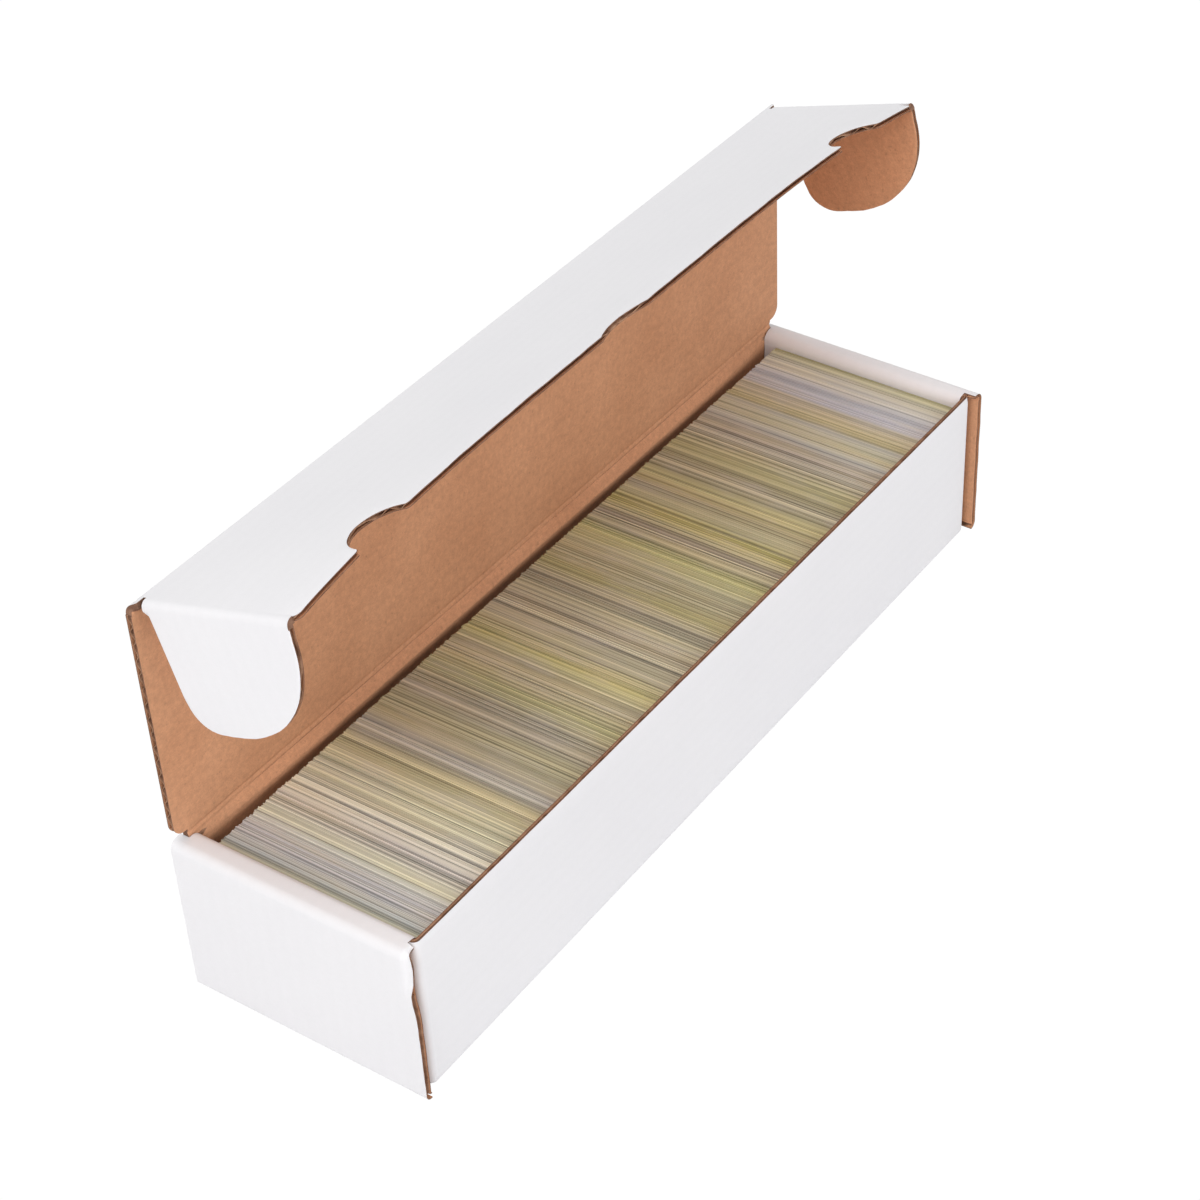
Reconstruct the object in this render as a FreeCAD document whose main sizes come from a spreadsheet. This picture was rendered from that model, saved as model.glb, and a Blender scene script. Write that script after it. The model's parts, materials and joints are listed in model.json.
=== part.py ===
import FreeCAD, Part
import math
import os
import Sketcher

# A long one-row storage box for standing collector cards, folded from one sheet of
# corrugated board.  Each end wall is rolled over: an outer panel goes up, over the top
# and down inside as an inner panel that locks in the bottom.  The lid is hinged along
# the back wall and carries a front flap, whose two ears go into the slots that the
# rolled ends leave open at the front.  The lid stands open and the box is full.
#
# Frame: X along the box (left is -X), front wall towards -Y, Z up, the underside at
# Z = 0, and the origin under the middle of the box's outer faces.

# ---------------------------------------------------------------- driving sizes (mm)

SIZES = {
    # board and outer size of the folded box
    "board": (2.6, "thickness of the corrugated board"),
    "box_length": (390.0, "outside length, over the end panels"),
    "box_width": (101.6, "outside width, front wall to back wall"),
    "box_height": (71.0, "height of the walls and of the rolled ends"),
    "front_lip": (2.2, "how far the end panels stand out past the front wall"),
    "back_lip": (1.2, "how far the end panels stand out past the back wall"),
    "bend_radius": (2.0, "outside radius of a folded edge"),
    # rolled ends
    "slot_gap": (3.4, "width of the slot for an ear, between outer panel and dust flap"),
    "roll_radius": (4.0, "outside radius of the rolled shoulders"),
    "roll_drop": (6.0, "height of the rolled strip"),
    "dust_depth": (46.5, "length of a dust flap, from its wall"),
    "dust_lift": (0.5, "space under a dust flap"),
    "dust_corner": (8.0, "rounding of a dust flap's free corners"),
    "tab_width": (22.0, "width of a lock tab"),
    "tab_spread": (48.0, "distance between the two lock tabs of an end"),
    "tab_radius": (1.6, "rounding of a lock tab's corners"),
    "tab_fit": (0.2, "space round a lock tab in its slot"),
    "fit": (0.3, "space between a panel and the walls it slides between"),
    # lid and front flap
    "crease_reach": (2.1, "from a crease's axis to the board that turns about it"),
    "lid_lift": (1.6, "from the top of the walls to the lid's axis"),
    "flap_gap": (0.5, "space between front wall and closed flap"),
    "lid_corner": (5.0, "rounding of the lid's corners beside the hinge"),
    "flap_depth": (71.3, "from the flap's axis to its free edge"),
    "flap_corner": (3.0, "rounding of the flap's free corners"),
    "flap_lift_angle": (17.0, "degrees that the open flap stands above level"),
    "notch_radius": (12.5, "radius of a thumb notch"),
    "notch_mouth": (2.0, "rounding at a thumb notch's mouth"),
    "left_notch_place": (-143.0, "middle of the left thumb notch, from the box's middle"),
    "right_notch_place": (151.0, "middle of the right thumb notch"),
    "dent_place": (-7.0, "middle of the shallow dent in the free edge"),
    "dent_radius": (26.5, "radius of the shallow dent"),
    "dent_depth": (4.0, "depth of the shallow dent"),
    # ears
    "ear_clear": (0.4, "space each side of an ear in its slot"),
    "ear_depth": (48.5, "from the ear's axis to its lower edge"),
    "ear_start": (5.5, "from the flap's axis to the ear's back edge"),
    "ear_inset": (1.6, "from the flap's free edge back to the ear's front edge"),
    "ear_taper": (1.0, "how much the ear's front edge leans back over its depth"),
    "ear_back_radius": (11.0, "rounding of the ear's back corner"),
    "ear_front_radius": (45.0, "large round of the ear's front edge"),
    "left_ear_splay": (0.0, "degrees that the open left ear leans out from square"),
    "right_ear_splay": (8.0, "degrees that the open right ear leans out from square"),
    # cards
    "card_width": (88.9, "long side of a card, across the box"),
    "card_height": (63.5, "short side of a card, standing"),
    "stack_gap": (0.4, "space between neighbouring stacks"),
}
STACK_COUNT = 10


class Size:
    """A length with its number and the sheet expression that it comes from."""

    def __init__(self, number, text):
        self.number = number
        self.text = text

    @staticmethod
    def of(value):
        return value if isinstance(value, Size) else Size(float(value), f"({value})")

    def joined(self, other, sign, number):
        return Size(number, f"({self.text} {sign} {other.text})")

    def __add__(self, other):
        other = Size.of(other)
        return self.joined(other, "+", self.number + other.number)

    def __sub__(self, other):
        other = Size.of(other)
        return self.joined(other, "-", self.number - other.number)

    def __mul__(self, other):
        other = Size.of(other)
        return self.joined(other, "*", self.number * other.number)

    def __truediv__(self, other):
        other = Size.of(other)
        return self.joined(other, "/", self.number / other.number)

    def __neg__(self):
        return self * -1


doc = FreeCAD.newDocument("card_box")
sheet = doc.addObject("Spreadsheet::Sheet", "Sizes")
for row, (alias, (number, meaning)) in enumerate(SIZES.items(), start=1):
    sheet.set(f"A{row}", alias)
    sheet.set(f"B{row}", str(number))
    sheet.set(f"C{row}", meaning)
    sheet.setAlias(f"B{row}", alias)
doc.recompute()


def size(alias):
    """The sheet's value of that name."""
    return Size(float(sheet.get(alias)), f"Sizes.{alias}")


ZERO = Size.of(0)

# --------------------------------------------------------------------- shared places

board = size("board")
half_board = board / 2
height = size("box_height")
fit = size("fit")
reach = size("crease_reach")
roll_drop = size("roll_drop")

# The end panels stand out further in front than behind, so the walls lie off centre.
middle_y = (size("front_lip") - size("back_lip")) / 2
front_out = middle_y - size("box_width") / 2
back_out = middle_y + size("box_width") / 2
front_in = front_out + board
back_in = back_out - board

# An end wall, from the outside in: outer panel, slot, dust flap, inner panel.
end_out = size("box_length") / 2
slot_out = end_out - board
slot_in = slot_out - size("slot_gap")
dust_in = slot_in - board
bay_end = dust_in - board
end_half = (size("box_width") + size("front_lip") + size("back_lip")) / 2
roll_base = height - roll_drop

# Axes of the creases.  The lid's lies over the middle of the back wall's board, and
# the flap's so far along the lid that the closed flap clears the front wall.
lid_axis_y = back_out - half_board
lid_axis_z = height + size("lid_lift")
lid_depth = size("box_width") + size("flap_gap")
flap_axis_z = lid_axis_z + lid_depth
ear_axis_x = slot_in + size("ear_clear") + half_board
flap_half = ear_axis_x - reach
ear_front = size("flap_depth") - size("ear_inset")
flap_turn = Size.of(180) - size("flap_lift_angle")
flap_cos = Size(math.cos(math.radians(flap_turn.number)), f"cos({flap_turn.text} * 1 deg)")
flap_sin = Size(math.sin(math.radians(flap_turn.number)), f"sin({flap_turn.text} * 1 deg)")

# ------------------------------------------------------------------------- helpers

PLANES = {"XY": "XY_Plane", "XZ": "XZ_Plane", "YZ": "YZ_Plane"}
ACROSS = {"XY": (0, 1), "XZ": (0, 2), "YZ": (1, 2)}
SAME_PLACE = 0.01


def as_number(value):
    """The bare number of a size, to sort by."""
    return value.number


def bind(thing, name, value):
    """Tie a property to the sheet."""
    thing.setExpression(name, value.text)


def put(thing, x=ZERO, y=ZERO, z=ZERO):
    """Place a sub-part."""
    bind(thing, "Placement.Base.x", x)
    bind(thing, "Placement.Base.y", y)
    bind(thing, "Placement.Base.z", z)
    return thing


def slab(label, x, y, z):
    """A plain block between low and high x, y and z."""
    block = doc.addObject("Part::Box", label)
    bind(block, "Length", x[1] - x[0])
    bind(block, "Width", y[1] - y[0])
    bind(block, "Height", z[1] - z[0])
    return put(block, x[0], y[0], z[0])


def new_sketch(body, plane, name):
    """An empty sketch on one of the body's own planes."""
    sketch = body.newObject("Sketcher::SketchObject", f"{body.Name}_{name}")
    for feature in body.Origin.OriginFeatures:
        if feature.Role == PLANES[plane]:
            sketch.AttachmentSupport = [(feature, "")]
    sketch.MapMode = "FlatFace"
    return sketch


def place_point(sketch, geometry, point, at, name):
    """Hold one point of a sketch at its two distances from the sketch's origin."""
    for kind, value, letter in (("DistanceX", at[0], "x"), ("DistanceY", at[1], "y")):
        number = sketch.addConstraint(
            Sketcher.Constraint(kind, -1, 1, geometry, point, value.number)
        )
        sketch.renameConstraint(number, f"{name}_{letter}")
        bind(sketch, f"Constraints.{name}_{letter}", value)


def draw_polygon(sketch, corners):
    """A closed outline of straight edges, each corner held in place."""
    points = [FreeCAD.Vector(x.number, y.number, 0) for x, y in corners]
    for here, there in zip(points, points[1:] + points[:1]):
        sketch.addGeometry(Part.LineSegment(here, there), False)
    last = len(corners) - 1
    for edge in range(len(corners)):
        follows = 0 if edge == last else edge + 1
        sketch.addConstraint(Sketcher.Constraint("Coincident", edge, 2, follows, 1))
    for edge, corner in enumerate(corners):
        place_point(sketch, edge, 1, corner, f"corner_{edge}")


def draw_circle(sketch, centre, radius):
    """A circle held by its centre and radius."""
    at = FreeCAD.Vector(centre[0].number, centre[1].number, 0)
    sketch.addGeometry(Part.Circle(at, FreeCAD.Vector(0, 0, 1), radius.number), False)
    place_point(sketch, 0, 3, centre, "centre")
    number = sketch.addConstraint(Sketcher.Constraint("Radius", 0, radius.number))
    sketch.renameConstraint(number, "radius")
    bind(sketch, "Constraints.radius", radius)


def pad(body, sketch, thickness):
    """Thicken a sketch evenly to both sides of its plane."""
    feature = body.newObject("PartDesign::Pad", f"{sketch.Name}_pad")
    feature.Profile = sketch
    feature.SideType = "Symmetric"
    bind(feature, "Length", thickness)
    doc.recompute()
    return body


def punch(body, plane, name, draw):
    """Cut a sketched outline through the body, both ways from its plane."""
    before = body.Shape.Volume
    sketch = new_sketch(body, plane, name)
    draw(sketch)
    feature = body.newObject("PartDesign::Pocket", f"{sketch.Name}_cut")
    feature.Profile = sketch
    feature.SideType = "Symmetric"
    feature.Type = "ThroughAll"
    doc.recompute()
    if not body.Shape.Volume < before - SAME_PLACE:
        raise ValueError(f"{name} cuts nothing from {body.Label}")
    return body


def edges_along(body, plane, spot):
    """Names of the edges square to the plane that pass through a spot on it."""
    shape = body.Tip.Shape
    first, second = ACROSS[plane]
    found = []
    for number, edge in enumerate(shape.Edges, start=1):
        ends = [vertex.Point for vertex in edge.Vertexes]
        on_spot = [
            abs(end[first] - spot[0].number) < SAME_PLACE
            and abs(end[second] - spot[1].number) < SAME_PLACE
            for end in ends
        ]
        if len(ends) == 2 and all(on_spot):
            found.append(f"Edge{number}")
    if not found:
        raise ValueError(f"{body.Label} has no edge to round at {spot[0].number}")
    return found


def round_edges(body, name, radius, plane, spots):
    """Round the edges square to the plane at those spots."""
    names = [edge for spot in spots for edge in edges_along(body, plane, spot)]
    base = body.Tip
    feature = body.newObject("PartDesign::Fillet", f"{body.Name}_{name}")
    feature.Base = (base, names)
    bind(feature, "Radius", radius)
    body.Tip = feature
    doc.recompute()
    return body


def panel(label, plane, corners, thickness=board):
    """A flat board of any straight-edged outline, its middle on the plane."""
    body = doc.addObject("PartDesign::Body", label)
    sketch = new_sketch(body, plane, "outline")
    draw_polygon(sketch, corners)
    return pad(body, sketch, thickness)


def rectangle(low, high):
    """The four corners between a low and a high corner."""
    return [low, (high[0], low[1]), high, (low[0], high[1])]


def crease(label, plane, to_round, neck, length):
    """A strip of board that ends in a half round on a crease's axis.

    to_round is the sketch direction from the neck to the round end, as (1, 0) or so.
    """
    body = doc.addObject("PartDesign::Body", label)
    sketch = new_sketch(body, plane, "profile")
    side = (to_round[1], -to_round[0])

    def at(along, across):
        return (
            along * to_round[0] + across * side[0],
            along * to_round[1] + across * side[1],
        )

    corners = [
        at(ZERO, -half_board),
        at(-neck, -half_board),
        at(-neck, half_board),
        at(ZERO, half_board),
    ]
    points = [FreeCAD.Vector(x.number, y.number, 0) for x, y in corners]
    for here, there in zip(points, points[1:]):
        sketch.addGeometry(Part.LineSegment(here, there), False)
    circle = Part.Circle(FreeCAD.Vector(), FreeCAD.Vector(0, 0, 1), half_board.number)
    begin = math.atan2(side[1], side[0])
    sketch.addGeometry(Part.ArcOfCircle(circle, begin, begin + math.pi), False)
    for edge in range(4):
        follows = (edge + 1) % 4
        sketch.addConstraint(Sketcher.Constraint("Coincident", edge, 2, follows, 1))
    sketch.addConstraint(Sketcher.Constraint("Coincident", 3, 3, -1, 1))
    place_point(sketch, 1, 1, corners[1], "neck_low")
    place_point(sketch, 1, 2, corners[2], "neck_high")
    place_point(sketch, 2, 2, corners[3], "arc_start")
    sketch_axis = -1 if to_round[0] == 0 else -2
    sketch.addConstraint(Sketcher.Constraint("PointOnObject", 0, 1, sketch_axis))
    return pad(body, sketch, length)


# -------------------------------------------------------------------- the box's tray

tab_half = size("tab_width") / 2
tab_places = [-size("tab_spread") / 2, size("tab_spread") / 2]
inner_half = (back_in - front_in) / 2 - fit


def make_bottom():
    """The bottom panel, with two lock slots at each end."""
    bay_half = (back_in - front_in) / 2
    corners = rectangle((-slot_out, -bay_half), (slot_out, bay_half))
    body = panel("bottom_panel", "XY", corners)
    room = size("tab_fit")
    for side, side_name in ((-1, "left"), (1, "right")):
        ends = sorted(((bay_end - room) * side, (dust_in + room) * side), key=as_number)
        for number, place in enumerate(tab_places):
            low = (ends[0], place - tab_half - room)
            high = (ends[1], place + tab_half + room)
            punch(
                body,
                "XY",
                f"{side_name}_lock_slot_{number}",
                lambda sketch, low=low, high=high: draw_polygon(sketch, rectangle(low, high)),
            )
    return put(body, y=middle_y, z=half_board)


def make_wall(label, middle, outward):
    """A long wall, folded up from the bottom and folded in at its ends."""
    corners = rectangle((-slot_in, ZERO), (slot_in, height))
    body = panel(label, "XZ", corners)
    face = half_board * outward
    round_edges(body, "bottom_bend", size("bend_radius"), "YZ", [(face, ZERO)])
    ends = [(-slot_in, face), (slot_in, face)]
    round_edges(body, "end_bends", size("bend_radius"), "XY", ends)
    return put(body, y=middle)


def make_outer_panel(label, side):
    """The outer board of an end wall, wider than the box at front and back."""
    body = panel(label, "YZ", rectangle((-end_half, ZERO), (end_half, roll_base)))
    round_edges(body, "bottom_bend", size("bend_radius"), "XZ", [(half_board * side, ZERO)])
    return put(body, x=(end_out - half_board) * side)


def make_rolled_strip(label, side):
    """The strip that carries the board over the top of an end wall and down inside.

    Over the slot it is as wide as the outer panel.  Further in it is cut back to pass
    between the long walls, as the inner panel below it does.
    """
    across = end_out - bay_end
    corners = [
        (ZERO, ZERO),
        (ZERO, roll_drop),
        (across, roll_drop),
        (across, ZERO),
        (across - board, ZERO),
        (across - board, roll_drop - board),
        (board, roll_drop - board),
        (board, ZERO),
    ]
    turned = [(x * side, z) for x, z in corners]
    body = panel(label, "XZ", turned, thickness=end_half * 2)
    radius = size("roll_radius")
    round_edges(body, "shoulders", radius, "XZ", [turned[1], turned[2]])
    round_edges(body, "inside_bends", radius - board, "XZ", [turned[5], turned[6]])
    x_range = sorted((-board * side, (slot_in - bay_end) * side), key=as_number)
    cuts = {
        "front_step": (-end_half - board, front_in + fit),
        "back_step": (back_in - fit, end_half + board),
    }
    for name, y_range in cuts.items():
        outline = rectangle((x_range[0], y_range[0]), (x_range[1], y_range[1]))
        punch(body, "XY", name, lambda sketch, outline=outline: draw_polygon(sketch, outline))
    return put(body, x=bay_end * side, z=roll_base)


def make_inner_panel(label, side):
    """The inner board of an end wall, locked in the bottom by two tabs."""
    corners = [(-inner_half, board)]
    tab_corners = []
    for place in tab_places:
        foot = [(place - tab_half, fit), (place + tab_half, fit)]
        corners += [(foot[0][0], board), foot[0], foot[1], (foot[1][0], board)]
        tab_corners += foot
    corners += [(inner_half, board), (inner_half, roll_base), (-inner_half, roll_base)]
    body = panel(label, "YZ", corners)
    round_edges(body, "tab_corners", size("tab_radius"), "YZ", tab_corners)
    return put(body, x=(bay_end + half_board) * side, y=middle_y)


def make_dust_flap(label, side, wall_face, inward):
    """A dust flap, folded in from the end of a long wall behind the outer panel."""
    far = size("dust_depth") * inward
    low = board + size("dust_lift")
    corners = [(ZERO, low), (far, low), (far, roll_base), (ZERO, roll_base)]
    body = panel(label, "YZ", corners)
    round_edges(body, "free_corners", size("dust_corner"), "YZ", corners[1:3])
    return put(body, x=(dust_in + half_board) * side, y=wall_face)


subparts = [
    make_bottom(),
    make_wall("front_wall", front_out + half_board, -1),
    make_wall("back_wall", back_out - half_board, 1),
]
for side, side_name in ((-1, "left"), (1, "right")):
    subparts += [
        make_outer_panel(f"{side_name}_end_outer_panel", side),
        make_rolled_strip(f"{side_name}_end_rolled_strip", side),
        make_inner_panel(f"{side_name}_end_inner_panel", side),
        make_dust_flap(f"{side_name}_front_dust_flap", side, front_in, 1),
        make_dust_flap(f"{side_name}_back_dust_flap", side, back_in, -1),
    ]

# ------------------------------------------------------------------ lid, flap, ears


def make_lid_crease():
    """The crease over the back wall that the lid turns about."""
    body = crease("lid_crease", "YZ", (0, 1), size("lid_lift"), slot_in * 2)
    return put(body, y=lid_axis_y, z=lid_axis_z)


def make_lid():
    """The lid panel, standing straight up from its crease."""
    low = (-end_out, reach)
    high = (end_out, lid_depth - reach)
    body = panel("lid_panel", "XZ", rectangle(low, high))
    round_edges(body, "corners", size("lid_corner"), "XZ", [low, (high[0], low[1])])
    return put(body, y=lid_axis_y, z=lid_axis_z)


def make_flap_crease():
    """The crease along the lid's edge that the front flap turns about."""
    body = crease("flap_crease", "YZ", (0, 1), reach, flap_half * 2)
    return put(body, y=lid_axis_y, z=flap_axis_z)


def put_on_flap(body, x=ZERO, along=ZERO, splay=ZERO):
    """Lay a body into the open flap's frame: Y along the flap, Z under it.

    It then leans by the splay about that Y.
    """
    y = lid_axis_y + along * flap_cos
    z = flap_axis_z + along * flap_sin
    base = f"vector({x.text}; {y.text}; {z.text})"
    turn = f"rotation(vector(1; 0; 0); {flap_turn.text})"
    lean = f"rotation(vector(0; 1; 0); {splay.text})"
    body.setExpression("Placement", f"placement({base}; {turn} * {lean})")
    return body


def make_front_flap():
    """The front flap, with two thumb notches and a shallow dent in its free edge."""
    edge = size("flap_depth")
    corners = rectangle((-flap_half, reach), (flap_half, edge))
    body = panel("front_flap", "XY", corners)
    round_edges(body, "corners", size("flap_corner"), "XY", corners[2:])
    radius = size("notch_radius")
    mouths = []
    for name in ("left_notch", "right_notch"):
        centre = size(f"{name}_place")
        punch(
            body,
            "XY",
            name,
            lambda sketch, centre=centre: draw_circle(sketch, (centre, edge), radius),
        )
        mouths += [(centre - radius, edge), (centre + radius, edge)]
    round_edges(body, "notch_mouths", size("notch_mouth"), "XY", mouths)
    dent = size("dent_radius")
    centre = (size("dent_place"), edge + dent - size("dent_depth"))
    punch(body, "XY", "dent", lambda sketch: draw_circle(sketch, centre, dent))
    return put_on_flap(body)


def make_ear_crease(label, side):
    """The crease at an end of the flap that its ear turns about."""
    length = ear_front - size("ear_start")
    body = crease(label, "XZ", (side, 0), reach, length)
    middle = (ear_front + size("ear_start")) / 2
    return put_on_flap(body, x=ear_axis_x * side, along=middle)


def make_ear(label, side, splay):
    """An ear, folded down from the flap: straight behind, a long round in front."""
    back = size("ear_start")
    depth = size("ear_depth")
    corners = [
        (back, reach),
        (ear_front, reach),
        (ear_front - size("ear_taper"), depth),
        (back, depth),
    ]
    body = panel(label, "YZ", corners)
    round_edges(body, "front_round", size("ear_front_radius"), "YZ", [corners[2]])
    round_edges(body, "back_corner", size("ear_back_radius"), "YZ", [corners[3]])
    return put_on_flap(body, x=ear_axis_x * side, splay=splay * side)


subparts += [make_lid_crease(), make_lid(), make_flap_crease(), make_front_flap()]
for side, side_name in ((-1, "left"), (1, "right")):
    subparts += [
        make_ear_crease(f"{side_name}_ear_crease", side),
        make_ear(f"{side_name}_ear", side, size(f"{side_name}_ear_splay")),
    ]

# ---------------------------------------------------------------------------- cards

gap = size("stack_gap")
bay_length = (bay_end - fit) * 2
stack_length = (bay_length - gap * (STACK_COUNT - 1)) / STACK_COUNT
for number in range(STACK_COUNT):
    start = fit - bay_end + (stack_length + gap) * number
    x = (start, start + stack_length)
    y = (front_in + fit, front_in + fit + size("card_width"))
    z = (board, board + size("card_height"))
    subparts.append(slab(f"card_stack_{number + 1:02d}", x, y, z))

# ------------------------------------------------------------------ check and write

doc.recompute()
for thing in doc.Objects:
    if "Invalid" in thing.State or "Error" in thing.State:
        raise ValueError(f"{thing.Label} did not build: {thing.State}")
for subpart in subparts:
    if subpart.Shape.isNull() or not subpart.Shape.isValid():
        raise ValueError(f"{subpart.Label} has no valid shape")

os.makedirs("parts", exist_ok=True)
for subpart in subparts:
    subpart.Shape.exportStep(f"parts/{subpart.Label}.step")
print(f"{len(subparts)} sub-parts written")
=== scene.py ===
import json
import logging
import math
from dataclasses import dataclass
from enum import Enum
from functools import cached_property
from typing import Any, Callable

import bpy
import numpy as np
from mathutils import Matrix, Vector


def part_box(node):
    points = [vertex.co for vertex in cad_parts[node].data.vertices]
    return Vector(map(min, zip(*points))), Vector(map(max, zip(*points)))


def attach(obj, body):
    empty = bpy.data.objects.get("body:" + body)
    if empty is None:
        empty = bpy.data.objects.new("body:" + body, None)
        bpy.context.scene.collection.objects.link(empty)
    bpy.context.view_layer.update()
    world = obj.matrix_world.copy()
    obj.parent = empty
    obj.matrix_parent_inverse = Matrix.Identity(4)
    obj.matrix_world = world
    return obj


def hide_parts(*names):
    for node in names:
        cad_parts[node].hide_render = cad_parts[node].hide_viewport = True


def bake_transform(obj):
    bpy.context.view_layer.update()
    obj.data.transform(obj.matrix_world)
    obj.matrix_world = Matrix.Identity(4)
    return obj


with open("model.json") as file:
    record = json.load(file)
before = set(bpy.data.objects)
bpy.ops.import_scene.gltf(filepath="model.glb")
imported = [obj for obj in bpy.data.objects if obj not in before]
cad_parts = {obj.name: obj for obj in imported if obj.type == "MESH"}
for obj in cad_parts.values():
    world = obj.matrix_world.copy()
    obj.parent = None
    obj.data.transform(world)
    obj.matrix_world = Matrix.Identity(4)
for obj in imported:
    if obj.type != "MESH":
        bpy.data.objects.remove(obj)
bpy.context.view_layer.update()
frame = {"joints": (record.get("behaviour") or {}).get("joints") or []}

MM = 0.001
DEGREE = math.pi / 180
HAIR = 0.05 * MM  # length over which an outline steps from one edge to another
LOG = logging.getLogger("card_box")

Grid = np.ndarray
Surface = Callable[[Grid, Grid], tuple[Grid, Grid]]
Field = Callable[[Grid, Grid], Grid]
Ends = Callable[[Grid], tuple[Grid, Grid]]
Socket = bpy.types.NodeSocket
Pair = tuple[float, float]
Triple = tuple[float, float, float]
Colour = tuple[float, float, float, float]


class Sided(Enum):
    """One of two sides of the box, with its sign as its value."""

    @property
    def word(self) -> str:
        """The side's word in node names."""
        return self.name.lower()


class Side(Sided):
    """An end of the box, with the sign of its X."""

    LEFT = -1
    RIGHT = 1


class Wall(Sided):
    """A long wall of the box, with the sign of Y on its white side."""

    FRONT = -1
    BACK = 1


class Face(Enum):
    """The finishes of a board, as material slots of its mesh."""

    WHITE = 0
    KRAFT = 1
    MEDIUM = 2
    RIM = 3


# The finishes of a slab's upper side, its lower side and its rim.
WHITE_LINER = (Face.WHITE, Face.KRAFT, Face.RIM)
KRAFT_LINER = (Face.KRAFT, Face.KRAFT, Face.RIM)
FLUTED = (Face.MEDIUM, Face.MEDIUM, Face.MEDIUM)


# ---- sizes and numbers


def joint(name: str) -> dict[str, Any]:
    """The frame's record of a joint."""
    return next(entry for entry in frame["joints"] if entry["name"] == name)


@dataclass(frozen=True)
class BoxSizes:
    """Places and sizes that the pieces share, all but the last two read from the frame."""

    board: float  # thickness of the board
    front_out: float  # Y of the front wall's white face
    back_out: float  # Y of the back wall's white face
    height: float  # Z of the walls' tops
    end_out: float  # X of the right end's white face
    end_half: float  # half the width of an end's outer board
    slot_in: float  # X of the long walls' end, where the ear's slot begins
    bay_end: float  # X of the inner board's kraft face
    strip_front: float  # Y of the rolled strip's front edge
    strip_back: float  # Y of the rolled strip's back edge
    dust_tip: float  # Y of the front dust flaps' tips
    dust_low: float  # Z of the dust flaps' lower edge
    dust_top: float  # Z of the dust flaps' upper edge
    lid_y: float  # Y of the upright lid's middle plane
    lid_low: float  # Z of the lid board's lower edge
    lid_top: float  # Z of the lid board's upper edge
    flap_z: float  # Z of the axis between lid and flap
    flap_half: float  # half the flap's length
    ear_x: float  # X of the right ear's axis
    tilt: float  # angle of the flap above level, in radians
    bend: float = 3.0 * MM  # outer radius of the board where it folds up from the bottom
    reach: float = 2.1 * MM  # distance from a moving crease's axis to the boards beside it

    @classmethod
    def from_frame(cls) -> "BoxSizes":
        """Read every place from the CAD nodes' boxes and the joints.

        Returns:
            The sizes.
        """
        front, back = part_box("front_wall"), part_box("back_wall")
        outer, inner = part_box("right_end_outer_panel"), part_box("right_end_inner_panel")
        lid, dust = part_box("lid_panel"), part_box("right_front_dust_flap")
        fold = Vector(joint("left_ear_hinge")["axis"])
        return cls(
            board=lid[1].y - lid[0].y,
            front_out=front[0].y,
            back_out=back[1].y,
            height=front[1].z,
            end_out=outer[1].x,
            end_half=outer[1].y,
            slot_in=front[1].x,
            bay_end=inner[0].x,
            strip_front=inner[0].y,
            strip_back=inner[1].y,
            dust_tip=dust[1].y,
            dust_low=dust[0].z,
            dust_top=dust[1].z,
            lid_y=Vector(joint("lid_hinge")["pos_m"]).y,
            lid_low=lid[0].z,
            lid_top=lid[1].z,
            flap_z=Vector(joint("flap_hinge")["pos_m"]).z,
            flap_half=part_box("front_flap")[1].x,
            ear_x=Vector(joint("right_ear_hinge")["pos_m"]).x,
            tilt=math.atan2(-fold.z, fold.y),
        )

    @property
    def half(self) -> float:
        """Half the board's thickness."""
        return self.board / 2

    @property
    def flap_way(self) -> Grid:
        """Unit direction from the flap's crease to its free edge."""
        return np.array([0.0, -math.cos(self.tilt), math.sin(self.tilt)])

    @property
    def flap_down(self) -> Grid:
        """Unit direction out of the flap's kraft side."""
        return np.array([0.0, -math.sin(self.tilt), -math.cos(self.tilt)])

    @property
    def flap_depth(self) -> float:
        """Distance from the flap's axis to its free edge, from the node's box."""
        low_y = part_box("front_flap")[0].y
        return (self.lid_y - low_y - self.half * math.sin(self.tilt)) / math.cos(self.tilt)


def stations(low: float, high: float, step: float) -> Grid:
    """Even places from low to high.

    Args:
        low: the first place.
        high: the last place.
        step: the widest spacing.

    Returns:
        The places in rising order.
    """
    return np.linspace(low, high, max(2, math.ceil((high - low) / step) + 1))


def arc(centre: Pair, radius: float, start: float, end: float, count: int) -> Grid:
    """Points of a circular arc: centre plus radius times (cosine, sine) of the angle.

    Args:
        centre: the arc's centre.
        radius: its radius.
        start: the first angle, in degrees.
        end: the last angle, in degrees.
        count: how many points.

    Returns:
        An array of count rows of two numbers.
    """
    angle = np.radians(np.linspace(start, end, count))
    return np.stack(
        [centre[0] + radius * np.cos(angle), centre[1] + radius * np.sin(angle)], axis=1
    )


def smooth_step(value: Grid, low: float | Grid, high: float | Grid) -> Grid:
    """Rise from 0 at low to 1 at high: t squared times (3 - 2 t)."""
    t = np.clip((value - low) / (high - low), 0, 1)
    return t * t * (3 - 2 * t)


# Height, pace and shift of each sine of a ripple.
RIPPLES = ((1.0, 1.0, 1.0), (0.6, 2.3, 2.1), (0.4, 5.1, 1.0))


def ripple(value: Grid, wave: float, seed: float) -> Grid:
    """A gentle irregular wave between about -1 and 1: half the sum of three sines.

    Args:
        value: distance along the wave, in metres.
        wave: the main wave length, in metres.
        seed: shifts the sines, so that each edge differs.

    Returns:
        The wave's height at each value.
    """
    turn = 2 * math.pi * value / wave
    return sum(
        height * np.sin(pace * turn + shift * seed) for height, pace, shift in RIPPLES
    ) / 2


def edge_shares(count: int, margin: float) -> Grid:
    """Even shares from 0 to 1, with one more at a small margin from each end."""
    return np.union1d(np.linspace(0, 1, count), [margin, 1 - margin])


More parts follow.
